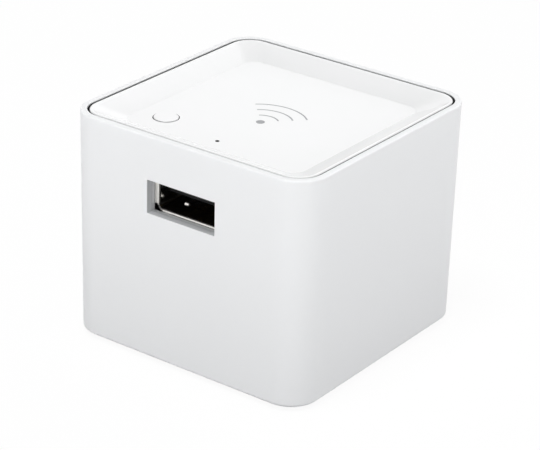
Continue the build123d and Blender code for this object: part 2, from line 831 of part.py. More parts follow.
def jack_shield():
    """Folded screen round the network socket, open below and in front of the plug space."""
    back, front = jack_span()
    half = jack_width / 2
    top = lower_board_top + jack_height
    outer = Pos(jack_x, (lower_board_top + top) / 2) * Rectangle(jack_width, jack_height)
    body = along_y(outer, back, front)
    body = fillet(body.edges().filter_by(Axis.Y).group_by(Axis.Z)[-1], jack_fold)
    body -= block(
        (jack_x - half + jack_sheet, back + jack_sheet, lower_board_top - overcut),
        (jack_x + half - jack_sheet, front - jack_sheet, top - jack_sheet),
    )
    return body - along_y(jack_mouth(jack_sheet), back + jack_length / 2, front + overcut)


def jack_mouth(margin=0.0):
    """Stepped outline of a plug with its latch below."""
    main = Pos(jack_x, jack_plug_bottom + plug_height / 2) * Rectangle(
        plug_width + 2 * margin, plug_height + 2 * margin)
    step_low = jack_plug_bottom - latch_height
    step = Pos(jack_x, (step_low + jack_plug_bottom) / 2) * Rectangle(
        latch_width + 2 * margin, latch_height + 2 * margin)
    slot = Pos(jack_x, (latch_bottom + step_low) / 2) * Rectangle(
        latch_slot_width + 2 * margin, latch_slot_height + 2 * margin)
    return main + step + slot


def jack_housing():
    back, front = jack_span()
    edge = jack_sheet + jack_insert_clearance
    body = block(
        (jack_x - jack_width / 2 + edge, back + edge, lower_board_top),
        (jack_x + jack_width / 2 - edge, front - edge, lower_board_top + jack_height - edge),
    )
    return body - along_y(jack_mouth(), front - plug_depth, front + overcut)


def jack_contacts():
    """Spring wires that slope back and down from the roof of the plug space."""
    back, front = jack_span()
    start = front - jack_contact_start
    thick = jack_contact_thickness
    pieces = []
    for index in range(jack_contact_count):
        x = jack_x + (index - (jack_contact_count - 1) / 2) * jack_contact_pitch
        foot_end = start - jack_contact_foot
        end = foot_end - jack_contact_run
        profile = Polyline([
            (start, plug_top), (foot_end, plug_top), (end, plug_top - jack_contact_fall),
            (end, plug_top - jack_contact_fall - thick), (foot_end, plug_top - thick),
            (start, plug_top - thick),
        ], close=True)
        pieces.append(along_x(make_face(profile), x - jack_contact_width / 2, x + jack_contact_width / 2))
    return pieces


def inlet_outline(offset_in):
    """Power inlet seen from behind: flat top, bevelled lower corners."""
    half = inlet_width / 2 - offset_in
    low = lower_board_top + offset_in
    top = lower_board_top + inlet_height - offset_in
    bevel = inlet_bevel
    outline = Polyline([
        (inlet_x - half, top), (inlet_x - half, low + bevel), (inlet_x - half + bevel, low),
        (inlet_x + half - bevel, low), (inlet_x + half, low + bevel), (inlet_x + half, top),
    ], close=True)
    return make_face(outline)


def power_inlet_shell():
    back = port_face - inlet_length
    body = along_y(inlet_outline(0), back, port_face)
    return body - along_y(inlet_outline(inlet_sheet), back - overcut, port_face + overcut)


def power_inlet_insert():
    fit = inlet_sheet + inlet_insert_clearance
    back = port_face - inlet_length
    body = along_y(inlet_outline(fit), back, port_face - inlet_cavity_depth)
    middle = lower_board_top + inlet_height / 2
    return body + block(
        (inlet_x - inlet_tongue_width / 2, back, middle),
        (inlet_x + inlet_tongue_width / 2, port_face - inlet_tongue_setback, middle + inlet_tongue_height),
    )


def power_inlet_contacts():
    """Contact strips under the inlet's tongue."""
    top = lower_board_top + inlet_height / 2
    start = port_face - inlet_cavity_depth + touch_gap
    end = port_face - inlet_tongue_setback - inlet_contact_setback
    pieces = []
    for index in range(inlet_contact_count):
        x = inlet_x + (index - (inlet_contact_count - 1) / 2) * inlet_contact_pitch
        pieces.append(block(
            (x - inlet_contact_width / 2, start, top - inlet_contact_height),
            (x + inlet_contact_width / 2, end, top),
        ))
    return pieces


def chip(spot, size, height, base, side=1):
    """Moulded chip with a bevelled top and a small corner dimple; side -1 hangs below its board."""
    x, y = spot
    size_x, size_y = size
    low = min(base, base + side * height)
    body = upright(Pos(x, y) * Rectangle(size_x, size_y), low, low + height)
    face = base + side * height
    body = chamfer(edges_at(body, face), chip_bevel)
    dimple_x = x - size_x / 2 + chip_dimple_inset
    dimple_y = y + size_y / 2 - chip_dimple_inset
    dimple_low = face - chip_dimple_depth
    return body - rod(dimple_x, dimple_y, chip_dimple_diameter, dimple_low, face + chip_dimple_depth)


def processor():
    size = (processor_size, processor_size)
    return chip((0, processor_y), size, processor_height, lower_board_under, -1)


def thermal_pad():
    size = processor_size - 2 * pad_margin
    top = lower_board_under - processor_height
    return upright(Pos(0, processor_y) * Rectangle(size, size), top - pad_height, top)


def heat_sink():
    """Extruded finned sink that hangs over the floor vents."""
    top = lower_board_under - processor_height - pad_height
    half = processor_size / 2
    profile = Pos(0, top - sink_base / 2) * Rectangle(processor_size, sink_base)
    step = (processor_size - sink_fin) / (sink_fins - 1)
    for index in range(sink_fins):
        x = -half + sink_fin / 2 + index * step
        profile += Pos(x, top - sink_height / 2) * Rectangle(sink_fin, sink_height)
    return along_y(profile, processor_y - half, processor_y + half)


def capacitor(x, y):
    """Surface-mount can on its bevelled base."""
    radius = capacitor_diameter / 2
    width = 2 * capacitor_half
    base = upright(Pos(x, y) * Rectangle(width, width), lower_board_top, lower_board_top + capacitor_base)
    base = chamfer(base.edges().filter_by(Axis.Z).group_by(Axis.X)[-1], capacitor_base_bevel)
    low = capacitor_base / 2
    groove = capacitor_base + capacitor_groove_level
    can = turned([
        (0, low), (radius, low), (radius, groove - capacitor_groove_half),
        (radius - capacitor_groove_depth, groove), (radius, groove + capacitor_groove_half),
        (radius, capacitor_height - capacitor_edge), (radius - capacitor_edge, capacitor_height),
        (0, capacitor_height),
    ])
    return base + Pos(x, y, lower_board_top) * can


def filter_capacitors():
    """Two at the board's side and one in front of the power inlet."""
    spots = [
        (capacitor_x, capacitor_y - capacitor_pitch),
        (capacitor_x, capacitor_y),
        (inlet_x, inlet_capacitor_y),
    ]
    return [capacitor(x, y) for x, y in spots]


def power_inductor():
    outline = Pos(inductor_x, inductor_y) * RectangleRounded(inductor_size, inductor_size, inductor_corner)
    body = upright(outline, lower_board_top, lower_board_top + inductor_height)
    return chamfer(edges_at(body, lower_board_top + inductor_height), inductor_bevel)


def clock_crystal():
    """Metal can on the wider rim of its base."""
    length = crystal_length - 2 * crystal_rim
    width = crystal_width - 2 * crystal_rim
    can = Pos(crystal_x, crystal_y) * SlotOverall(length, width)
    rim = Pos(crystal_x, crystal_y) * SlotOverall(crystal_length, crystal_width)
    body = upright(can, lower_board_top, lower_board_top + crystal_height)
    body = chamfer(edges_at(body, lower_board_top + crystal_height), crystal_bevel)
    return body + upright(rim, lower_board_top, lower_board_top + crystal_rim_height)


def header_grid():
    return [
        Pos(header_x + (column - 0.5) * header_pitch, header_y + (row - (header_rows - 1) / 2) * header_pitch)
        for column in (0, 1)
        for row in range(header_rows)
    ]


def header_holes(body, low, high):
    size = header_pin + 2 * header_pin_clearance
    for spot in header_grid():
        body -= upright(spot * Rectangle(size, size), low, high)
    return body


def header_outline():
    return Pos(header_x, header_y) * Rectangle(header_body_width, header_rows * header_pitch)


def header_socket():
    top = lower_board_top + header_socket_height
    body = upright(header_outline(), lower_board_top, top)
    return header_holes(body, top - header_pin_depth - header_pin, top + overcut)


def header_base():
    low = upper_board_under - header_base_height
    body = upright(header_outline(), low, upper_board_under)
    return header_holes(body, low - overcut, upper_board_under + overcut)


def header_pins():
    low = lower_board_top + header_socket_height - header_pin_depth
    pin = Rectangle(header_pin, header_pin)
    return [upright(spot * pin, low, upper_board_under) for spot in header_grid()]


def radio_module():
    outline = Pos(radio_x, radio_y) * Rectangle(radio_board_x, radio_board_y)
    return upright(outline, upper_board_top, upper_board_top + radio_board_z)


def radio_shield():
    low = upper_board_top + radio_board_z
    x = radio_x + can_shift
    body = upright(Pos(x, radio_y) * RectangleRounded(can_x, can_y, can_corner), low, low + can_z)
    inside = RectangleRounded(can_x - 2 * can_sheet, can_y - 2 * can_sheet, can_corner - can_sheet)
    return body - upright(Pos(x, radio_y) * inside, low - overcut, low + can_z - can_sheet)


def radio_antenna():
    x = radio_x + radio_board_x / 2 - antenna_x
    low = upper_board_top + radio_board_z
    outline = Pos(x, radio_y) * Rectangle(antenna_x, antenna_y)
    return upright(outline, low, low + antenna_z)


def strip_antenna():
    """Bent strip under the upper board, standing on two legs."""
    top = upper_board_under
    low = top - strip_antenna_height
    half = strip_antenna_length / 2
    sheet = strip_antenna_sheet
    feed = strip_antenna_feed - half
    profile = Polyline([
        (-half, top), (-half, low), (half, low), (half, low + sheet), (feed + sheet, low + sheet),
        (feed + sheet, top), (feed, top), (feed, low + sheet), (-half + sheet, low + sheet),
        (-half + sheet, top),
    ], close=True)
    left = strip_antenna_x - strip_antenna_width / 2
    return along_x(make_face(profile), left, left + strip_antenna_width)


def save(name, shape):
    """Write one sub-part; several loose solids go in as one group."""
    solids = [s for piece in (shape if isinstance(shape, list) else [shape]) for s in piece.solids()]
    result = solids[0] if len(solids) == 1 else Compound(children=solids)
    export_step(result, os.path.join("parts", name + ".step"))


def main():
    os.makedirs("parts", exist_ok=True)
    save("outer_shell", outer_shell())
    save("top_cover", top_cover())
    save("button_cap", button_cap())
    save("light_guide", light_guide())
    for side_x, name_x in ((-1, "left"), (1, "right")):
        for side_y, name_y in ((-1, "front"), (1, "rear")):
            save("foot_%s_%s" % (name_y, name_x), foot(side_x * post_spot, side_y * post_spot))
    save("case_screws", case_screws())
    save("upper_board", upper_board())
    save("upper_board_screws", upper_board_screws())
    save("usb_socket_shell", usb_socket_shell())
    save("usb_socket_tongue", usb_socket_tongue())
    save("usb_socket_contacts", usb_socket_contacts())
    save("switch_base", switch_base())
    save("switch_plate", switch_plate_cover())
    save("switch_plunger", switch_plunger())
    save("switch_dome", switch_dome())
    save("switch_terminals", switch_terminals())
    save("status_led", status_led())
    save("jack_shield", jack_shield())
    save("jack_housing", jack_housing())
    save("jack_contacts", jack_contacts())
    save("power_inlet_shell", power_inlet_shell())
    save("power_inlet_insert", power_inlet_insert())
    save("power_inlet_contacts", power_inlet_contacts())
    save("lower_board", lower_board())
    save("processor", processor())
    save("thermal_pad", thermal_pad())
    save("heat_sink", heat_sink())
    under = lower_board_under
    over = lower_board_top
    save("memory_chip", chip((memory_x, memory_y), memory_size, processor_height, under, -1))
    save("flash_chip", chip((-memory_x, memory_y), flash_size, processor_height, under, -1))
    save("network_transformer", chip((jack_x, transformer_y), transformer_size, transformer_height, over))
    save("network_chip", chip((transceiver_x, transceiver_y), transceiver_size, chip_height, over))
    save("voltage_regulator", chip((regulator_x, regulator_y), regulator_size, processor_height, over))
    save("power_inductor", power_inductor())
    save("filter_capacitors", filter_capacitors())
    save("clock_crystal", clock_crystal())
    save("header_socket", header_socket())
    save("header_base", header_base())
    save("header_pins", header_pins())
    save("radio_board", radio_module())
    save("radio_chip", chip(radio_chip_spot, radio_chip_size, chip_height, upper_board_top + radio_board_z))
    save("radio_shield", radio_shield())
    save("radio_antenna", radio_antenna())
    save("strip_antenna", strip_antenna())


main()
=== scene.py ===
import bpy
import math
from mathutils import Matrix, Vector


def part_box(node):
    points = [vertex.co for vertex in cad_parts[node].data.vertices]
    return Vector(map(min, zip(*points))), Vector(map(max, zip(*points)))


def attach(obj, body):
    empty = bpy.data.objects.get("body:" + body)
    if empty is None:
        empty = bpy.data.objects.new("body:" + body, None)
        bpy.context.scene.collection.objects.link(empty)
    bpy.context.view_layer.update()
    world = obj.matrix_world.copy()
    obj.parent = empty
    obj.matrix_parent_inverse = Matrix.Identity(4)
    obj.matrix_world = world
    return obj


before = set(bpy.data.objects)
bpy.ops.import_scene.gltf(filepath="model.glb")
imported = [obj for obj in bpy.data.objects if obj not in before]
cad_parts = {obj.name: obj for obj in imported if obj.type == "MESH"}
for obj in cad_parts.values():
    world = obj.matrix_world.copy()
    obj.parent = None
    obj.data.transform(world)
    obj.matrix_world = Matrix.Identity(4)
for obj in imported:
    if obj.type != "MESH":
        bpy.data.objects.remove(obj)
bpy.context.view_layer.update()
mm = 0.001
print("frame loaded:", len(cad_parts), "nodes")

# lengths in the dictionaries are in millimetres and angles in degrees; a material's grain, streak or swell is
# the spacing of its pattern, and rough is its range of roughness


# small helpers: colours, nodes, selection

def hexColour(text):
    # sRGB hex to the linear values that a shader socket holds
    channels = [int(text[i:i + 2], 16) / 255 for i in (1, 3, 5)]
    return [c / 12.92 if c <= 0.04045 else ((c + 0.055) / 1.055) ** 2.4 for c in channels] + [1.0]


def addNode(tree, kind, settings=None, values=None, links=None):
    # one node with its settings, its socket values and what is plugged into it; a colour Mix is reached by
    # number: 0 is the share, 6 and 7 the two colours, and 2 the mixed colour that leaves it
    node = tree.nodes.new(kind)
    for name, value in (settings or {}).items():
        setattr(node, name, value)
    for name, value in (values or {}).items():
        node.inputs[name].default_value = value
    for name, (source, output) in (links or {}).items():
        tree.links.new(source.outputs[output], node.inputs[name])
    return node


def newMaterial(name):
    material = bpy.data.materials.new(name)
    material.use_nodes = True
    tree = material.node_tree
    tree.nodes.clear()
    place = addNode(tree, "ShaderNodeTexCoord")
    return material, tree, place


def deselectAll():
    if bpy.context.object and bpy.context.object.mode != "OBJECT":
        bpy.ops.object.mode_set(mode="OBJECT")
    bpy.ops.object.select_all(action="DESELECT")


def dress(material, *nodes):
    for name in nodes:
        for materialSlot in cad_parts[name].material_slots:
            materialSlot.material = material


# camera, placed by the vanishing lines of the housing

camera = {"azimuth": 35.894, "elevation": 25.104, "roll": 1.776, "spot": (209.845, -289.756, 186.597),
          "lens": 150.0, "sensor": 36.0, "nearest": 10.0}


def addCamera():
    azimuth = math.radians(camera["azimuth"])
    elevation = math.radians(camera["elevation"])
    back = Vector((math.sin(azimuth) * math.cos(elevation), -math.cos(azimuth) * math.cos(elevation),
                   math.sin(elevation)))
    right = Vector((0, 0, 1)).cross(back).normalized()
    up = back.cross(right)
    turn = Matrix((right, up, back)).transposed() @ Matrix.Rotation(math.radians(camera["roll"]), 3, "Z")
    bpy.ops.object.camera_add(location=[value * mm for value in camera["spot"]])
    view = bpy.context.object
    view.name = "photoCamera"
    view.rotation_euler = turn.to_euler()
    view.data.lens = camera["lens"]
    view.data.sensor_width = camera["sensor"]
    view.data.clip_start = camera["nearest"] * mm
    bpy.context.scene.camera = view


addCamera()
print("camera set")


# floor: a pale sweep of paper

floorPaper = {"size": 6000.0, "far": "#E6E6E7", "near": "#8E8E90", "nearRadius": 35.0, "farRadius": 150.0,
              "grain": 1.1111,  # real paper's tooth, about 0.1, is too fine to show
              "glow": 0.93}


def floorMaterial():
    # matt paper with painted shade, greyer under the object; the eye and its mirror images see it lifted to
    # white
    material, tree, place = newMaterial("mattPaperSweep")
    distance = addNode(tree, "ShaderNodeVectorMath", settings={"operation": "LENGTH"},
                       links={"Vector": (place, "Object")})
    spread = addNode(tree, "ShaderNodeMapRange", settings={"interpolation_type": "SMOOTHSTEP"},
                     values={"From Min": floorPaper["nearRadius"] * mm,
                             "From Max": floorPaper["farRadius"] * mm},
                     links={"Value": (distance, "Value")})
    # painted shade: the paper is greyer near the object, paler far from it
    tint = addNode(tree, "ShaderNodeMix", settings={"data_type": "RGBA"},
                   values={6: hexColour(floorPaper["near"]), 7: hexColour(floorPaper["far"])},
                   links={0: (spread, 0)})
    grain = addNode(tree, "ShaderNodeTexNoise",
                    values={"Scale": 1 / (floorPaper["grain"] * mm), "Detail": 3.0},
                    links={"Vector": (place, "Object")})
    bump = addNode(tree, "ShaderNodeBump", values={"Strength": 0.02, "Distance": 0.1 * mm},
                   links={"Height": (grain, "Fac")})
    paper = addNode(tree, "ShaderNodeBsdfDiffuse", links={"Color": (tint, 2), "Normal": (bump, 0)})
    bright = addNode(tree, "ShaderNodeBsdfDiffuse", values={"Color": (1, 1, 1, 1)})
    glow = addNode(tree, "ShaderNodeEmission", values={"Color": (1, 1, 1, 1), "Strength": 1.0})
    seen = addNode(tree, "ShaderNodeMixShader", values={"Fac": floorPaper["glow"]},
                   links={1: (bright, 0), 2: (glow, 0)})
    path = addNode(tree, "ShaderNodeLightPath")
    looks = addNode(tree, "ShaderNodeMath", settings={"operation": "MAXIMUM"},
                    links={0: (path, "Is Camera Ray"), 1: (path, "Is Glossy Ray")})
    looksOrPasses = addNode(tree, "ShaderNodeMath", settings={"operation": "MAXIMUM"},
                            links={0: (looks, 0), 1: (path, "Is Transmission Ray")})
    mixed = addNode(tree, "ShaderNodeMixShader",
                    links={0: (looksOrPasses, 0), 1: (paper, 0), 2: (seen, 0)})
    addNode(tree, "ShaderNodeOutputMaterial", links={"Surface": (mixed, 0)})
    return material


def addFloor():
    deselectAll()
    bpy.ops.mesh.primitive_plane_add(size=floorPaper["size"] * mm)
    floor = bpy.context.object
    floor.name = "paleFloor"
    floor.data.materials.append(floorMaterial())


addFloor()
print("floor laid")


# light: a low ring that is brightest in front, a higher glow that is brightest behind, and one softbox.
# A ring's levels go by azimuth (0 is the right side, -90 the front); its fade goes by height above the horizon

sky = {"lowLights": {-90: 3.36, 0: 1.74, 90: 0.1}, "lowFade": (5.0, 15.0),
       "highLights": {-90: 0.45, 0: 0.15, 90: 1.7}, "highFade": (35.0, 55.0), "ambient": 0.1}


def addRing(tree, direction, lights):
    # broad lights round the horizon, each fading out towards its far side
    total = addNode(tree, "ShaderNodeValue")
    total.outputs[0].default_value = 0.0
    for azimuth, level in lights.items():
        angle = math.radians(azimuth)
        facing = addNode(tree, "ShaderNodeVectorMath", settings={"operation": "DOT_PRODUCT"},
                         values={1: (math.cos(angle), math.sin(angle), 0)}, links={0: (direction, 0)})
        share = addNode(tree, "ShaderNodeMapRange", values={"From Min": -1.0},
                        links={"Value": (facing, "Value")})
        lobe = addNode(tree, "ShaderNodeMath", settings={"operation": "POWER"}, values={1: 2.0},
                       links={0: (share, 0)})
        total = addNode(tree, "ShaderNodeMath", settings={"operation": "MULTIPLY_ADD"}, values={1: level},
                        links={0: (lobe, 0), 2: (total, 0)})
    return total


def addSky():
    world = bpy.data.worlds.new("studioSky")
    world.use_nodes = True
    bpy.context.scene.world = world
    tree = world.node_tree
    tree.nodes.clear()
    place = addNode(tree, "ShaderNodeTexCoord")
    split = addNode(tree, "ShaderNodeSeparateXYZ", links={"Vector": (place, "Generated")})
    level = addNode(tree, "ShaderNodeCombineXYZ", links={"X": (split, "X"), "Y": (split, "Y")})
    direction = addNode(tree, "ShaderNodeVectorMath", settings={"operation": "NORMALIZE"},
                        links={0: (level, 0)})
    bands = []
    for fade, start, end in (("lowFade", 1.0, 0.0), ("lowFade", 0.0, 1.0), ("highFade", 1.0, 0.0)):
        lowest, highest = [math.sin(math.radians(angle)) for angle in sky[fade]]
        bands.append(addNode(tree, "ShaderNodeMapRange", settings={"interpolation_type": "SMOOTHSTEP"},
                             values={"From Min": lowest, "From Max": highest, "To Min": start, "To Max": end},
                             links={"Value": (split, "Z")}))
    lowBand, aboveLow, belowTop = bands
    highBand = addNode(tree, "ShaderNodeMath", settings={"operation": "MULTIPLY"},
                       links={0: (aboveLow, 0), 1: (belowTop, 0)})
    lowRing = addRing(tree, direction, sky["lowLights"])
    highRing = addRing(tree, direction, sky["highLights"])
    low = addNode(tree, "ShaderNodeMath", settings={"operation": "MULTIPLY"},
                  links={0: (lowRing, 0), 1: (lowBand, 0)})
    both = addNode(tree, "ShaderNodeMath", settings={"operation": "MULTIPLY_ADD"},
                   links={0: (highRing, 0), 1: (highBand, 0), 2: (low, 0)})
    whole = addNode(tree, "ShaderNodeMath", settings={"operation": "ADD"}, values={1: sky["ambient"]},
                    links={0: (both, 0)})
    background = addNode(tree, "ShaderNodeBackground", values={"Color": (1, 1, 1, 1)},
                         links={"Strength": (whole, 0)})
    addNode(tree, "ShaderNodeOutputWorld", links={"Surface": (background, 0)})


softbox = {"azimuth": -90.0, "elevation": 74.0, "distance": 900.0, "aimLevel": 21.0, "size": 300.0,
           "level": 0.47}


def addSoftbox():
    # level is what the lamp adds to a white surface that faces it
    azimuth = math.radians(softbox["azimuth"])
    elevation = math.radians(softbox["elevation"])
    distance = softbox["distance"] * mm
    toLamp = Vector((math.cos(azimuth) * math.cos(elevation), math.sin(azimuth) * math.cos(elevation),
                     math.sin(elevation)))
    aim = Vector((0, 0, softbox["aimLevel"] * mm))
    bpy.ops.object.light_add(type="AREA", location=aim + toLamp * distance)
    lamp = bpy.context.object
    lamp.name = "overheadSoftbox"
    lamp.data.shape = "SQUARE"
    lamp.data.size = softbox["size"] * mm
    lamp.data.energy = softbox["level"] * math.pi * math.pi * distance * distance
    lamp.rotation_euler = toLamp.to_track_quat("Z", "Y").to_euler()


addSky()
addSoftbox()
bpy.context.scene.view_settings.view_transform = "Standard"
print("light set")


# painted shade on the housing: darker walls in its gaps and in the button's hole, and a greyer reveal round the
# socket's window

gapShade = {"colour": "#48494B", "buttonHoleShade": "#0E0E0F", "buttonHoleTop": 40.1, "foot": 39.0, "steep": 0.5}


def steepWalls(tree, surface):
    normal = addNode(tree, "ShaderNodeSeparateXYZ", links={"Vector": (surface, "Normal")})
    return addNode(tree, "ShaderNodeMath", settings={"operation": "COMPARE"},
                   values={1: 0.0, 2: gapShade["steep"]}, links={0: (normal, "Z")})


def facingInwards(tree, place, surface):
    outwards = addNode(tree, "ShaderNodeVectorMath", settings={"operation": "DOT_PRODUCT"},
                       links={0: (place, "Object"), 1: (surface, "Normal")})
    return addNode(tree, "ShaderNodeMath", settings={"operation": "LESS_THAN"}, values={1: 0.0},
                   links={0: (outwards, "Value")})


def addGapShade(tree, split, tint, walls, levels):
    # painted shade on the steep walls of the gaps between parts, below the given levels, darkest in the
    # button's hole
    reach = addNode(tree, "ShaderNodeMapRange", settings={"interpolation_type": "SMOOTHSTEP"},
                    values={"From Min": levels[0] * mm, "From Max": levels[1] * mm,
                            "To Min": 1.0, "To Max": 0.0},
                    links={"Value": (split, "Z")})
    foot = addNode(tree, "ShaderNodeMath", settings={"operation": "GREATER_THAN"},
                   values={1: gapShade["foot"] * mm}, links={0: (split, "Z")})
    share = addNode(tree, "ShaderNodeMath", settings={"operation": "MULTIPLY"},
                    links={0: (reach, 0), 1: (foot, 0)})
    for wall in walls:
        share = addNode(tree, "ShaderNodeMath", settings={"operation": "MULTIPLY"},
                        links={0: (share, 0), 1: (wall, 0)})
    inHole = addNode(tree, "ShaderNodeMath", settings={"operation": "LESS_THAN"},
                     values={1: gapShade["buttonHoleTop"] * mm}, links={0: (split, "Z")})
    colour = addNode(tree, "ShaderNodeMix", settings={"data_type": "RGBA"},
                     values={6: hexColour(gapShade["colour"]), 7: hexColour(gapShade["buttonHoleShade"])},
                     links={0: (inHole, 0)})
    return addNode(tree, "ShaderNodeMix", settings={"data_type": "RGBA"},
                   links={0: (share, 0), 6: (tint, 2), 7: (colour, 2)})


revealShade = {"colour": "#C6C8CA", "middle": (-0.2, -24.0, 31.0), "half": (7.25, 2.0, 3.15),
             "edge": (-24.85, -24.7)}


def addRevealShade(tree, split, tint):
    # painted shade: the walls round the edges of the socket's window are painted greyer
    share = addNode(tree, "ShaderNodeMapRange",
                    values={"From Min": revealShade["edge"][0] * mm, "From Max": revealShade["edge"][1] * mm},
                    links={"Value": (split, "Y")})
    for axis, middle, half in zip("XYZ", revealShade["middle"], revealShade["half"]):
        inside = addNode(tree, "ShaderNodeMath", settings={"operation": "COMPARE"},
                         values={1: middle * mm, 2: half * mm}, links={0: (split, axis)})
        share = addNode(tree, "ShaderNodeMath", settings={"operation": "MULTIPLY"},
                        links={0: (share, 0), 1: (inside, 0)})
    return addNode(tree, "ShaderNodeMix", settings={"data_type": "RGBA"},
                   values={7: hexColour(revealShade["colour"])}, links={0: (share, 0), 6: (tint, 2)})


# outer shell

shellAbs = {"colour": "#F1F2F3", "flowColour": "#EFF0F1", "flow": 18.0,
            "sparkGrain": 0.25,  # the real craters, about 0.05, are too fine to show
            "rough": (0.44, 0.52), "shadeLevels": (41.6, 41.95)}


def shellMaterial():
    # white ABS from a fine spark-eroded mould: satin, with a grain that only close looks show
    material, tree, place = newMaterial("sparkErodedWhiteAbs")
    grain = addNode(tree, "ShaderNodeTexNoise",
                    values={"Scale": 1 / (shellAbs["sparkGrain"] * mm), "Detail": 4.0, "Roughness": 0.6},
                    links={"Vector": (place, "Object")})
    flow = addNode(tree, "ShaderNodeTexNoise", values={"Scale": 1 / (shellAbs["flow"] * mm), "Detail": 2.0},
                   links={"Vector": (place, "Object")})
    tint = addNode(tree, "ShaderNodeMix", settings={"data_type": "RGBA"},
                   values={6: hexColour(shellAbs["colour"]), 7: hexColour(shellAbs["flowColour"])},
                   links={0: (flow, "Fac")})
    split = addNode(tree, "ShaderNodeSeparateXYZ", links={"Vector": (place, "Object")})
    surface = addNode(tree, "ShaderNodeNewGeometry")
    walls = [steepWalls(tree, surface), facingInwards(tree, place, surface)]
    # painted shade in the gap between shell and cover
    gapShaded = addGapShade(tree, split, tint, walls, shellAbs["shadeLevels"])
    # painted shade on the reveal round the socket's window
    revealShaded = addRevealShade(tree, split, gapShaded)
    rough = addNode(tree, "ShaderNodeMapRange",
                    values={"To Min": shellAbs["rough"][0], "To Max": shellAbs["rough"][1]},
                    links={"Value": (grain, "Fac")})
    bump = addNode(tree, "ShaderNodeBump", values={"Strength": 0.12, "Distance": 0.02 * mm},
                   links={"Height": (grain, "Fac")})
    shader = addNode(tree, "ShaderNodeBsdfPrincipled", values={"IOR": 1.5},
                     links={"Base Color": (revealShaded, 2), "Roughness": (rough, 0), "Normal": (bump, 0)})
    addNode(tree, "ShaderNodeOutputMaterial", links={"Surface": (shader, 0)})
    return material


dress(shellMaterial(), "outer_shell")
print("shell dressed")


# top cover and button cap

coverAbs = {"colour": "#F2F2F3", "flowColour": "#F0F1F1", "swell": 9.0,
            "haze": 0.4,  # real polishing haze is too fine to show
            "rough": (0.19, 0.21), "coverShadeLevels": (41.5, 41.86), "buttonShadeLevels": (39.8, 39.95)}


def coverMaterial(name, shadeLevels):
    # the same ABS from a polished mould: glossier, with the faint swell of moulded sheet
    material, tree, place = newMaterial(name)
    swell = addNode(tree, "ShaderNodeTexNoise", values={"Scale": 1 / (coverAbs["swell"] * mm), "Detail": 1.0},
                    links={"Vector": (place, "Object")})
    haze = addNode(tree, "ShaderNodeTexNoise", values={"Scale": 1 / (coverAbs["haze"] * mm), "Detail": 3.0},
                   links={"Vector": (place, "Object")})
    tint = addNode(tree, "ShaderNodeMix", settings={"data_type": "RGBA"},
                   values={6: hexColour(coverAbs["colour"]), 7: hexColour(coverAbs["flowColour"])},
                   links={0: (swell, "Fac")})
    split = addNode(tree, "ShaderNodeSeparateXYZ", links={"Vector": (place, "Object")})
    walls = [steepWalls(tree, addNode(tree, "ShaderNodeNewGeometry"))]
    # painted shade in the gap round the cover and in the button's hole
    gapShaded = addGapShade(tree, split, tint, walls, shadeLevels)
    # painted shade on the reveal round the socket's window
    revealShaded = addRevealShade(tree, split, gapShaded)
    rough = addNode(tree, "ShaderNodeMapRange",
                    values={"To Min": coverAbs["rough"][0], "To Max": coverAbs["rough"][1]},
                    links={"Value": (haze, "Fac")})
    bump = addNode(tree, "ShaderNodeBump", values={"Strength": 0.05, "Distance": 0.2 * mm},
                   links={"Height": (swell, "Fac")})
    shader = addNode(tree, "ShaderNodeBsdfPrincipled", values={"IOR": 1.5, "Specular IOR Level": 0.4},
                     links={"Base Color": (revealShaded, 2), "Roughness": (rough, 0), "Normal": (bump, 0)})
    addNode(tree, "ShaderNodeOutputMaterial", links={"Surface": (shader, 0)})
    return material


dress(coverMaterial("polishedWhiteAbs", coverAbs["coverShadeLevels"]), "top_cover")
dress(coverMaterial("polishedWhiteAbsButton", coverAbs["buttonShadeLevels"]), "button_cap")
print("cover and button dressed")


# light guide and status light

clearGuide = {"colour": "#F3F6F7", "cloudColour": "#E6ECEE", "cloud": 0.6}


def lightGuideMaterial():
    # clear moulded polycarbonate: glassy, with slight cloudy streaks inside
    material, tree, place = newMaterial("clearPolycarbonate")
    cloud = addNode(tree, "ShaderNodeTexNoise", values={"Scale": 1 / (clearGuide["cloud"] * mm), "Detail": 2.0},
                    links={"Vector": (place, "Object")})
    tint = addNode(tree, "ShaderNodeMix", settings={"data_type": "RGBA"},
                   values={6: hexColour(clearGuide["colour"]), 7: hexColour(clearGuide["cloudColour"])},
                   links={0: (cloud, "Fac")})
    shader = addNode(tree, "ShaderNodeBsdfPrincipled",
                     values={"IOR": 1.585, "Roughness": 0.06, "Transmission Weight": 1.0},
                     links={"Base Color": (tint, 2)})
    addNode(tree, "ShaderNodeOutputMaterial", links={"Surface": (shader, 0)})
    return material


led = {"phosphor": "#E9D977", "body": "#F0EEE6", "spot": (0.0, -15.5, 35.8), "spotRadius": 0.38,
       "spotEdge": 0.1}


def ledMaterial():
    # cast epoxy lens over a yellow phosphor dot, on a white body
    material, tree, place = newMaterial("castLedEpoxy")
    offset = addNode(tree, "ShaderNodeVectorMath", settings={"operation": "DISTANCE"},
                     values={1: [value * mm for value in led["spot"]]}, links={0: (place, "Object")})
    edge = addNode(tree, "ShaderNodeMapRange", settings={"interpolation_type": "SMOOTHSTEP"},
                   values={"From Min": led["spotRadius"] * mm,
                           "From Max": (led["spotRadius"] + led["spotEdge"]) * mm},
                   links={"Value": (offset, "Value")})
    tint = addNode(tree, "ShaderNodeMix", settings={"data_type": "RGBA"},
                   values={6: hexColour(led["phosphor"]), 7: hexColour(led["body"])}, links={0: (edge, 0)})
    shader = addNode(tree, "ShaderNodeBsdfPrincipled",
                     values={"IOR": 1.53, "Roughness": 0.2, "Subsurface Weight": 0.3,
                             "Subsurface Radius": (0.6 * mm, 0.5 * mm, 0.3 * mm)},
                     links={"Base Color": (tint, 2)})
    addNode(tree, "ShaderNodeOutputMaterial", links={"Surface": (shader, 0)})
    return material


dress(lightGuideMaterial(), "light_guide")
dress(ledMaterial(), "status_led")
print("status light dressed")


# nickel sheet of the sockets' shells, with the lips and spring leaves of the USB socket

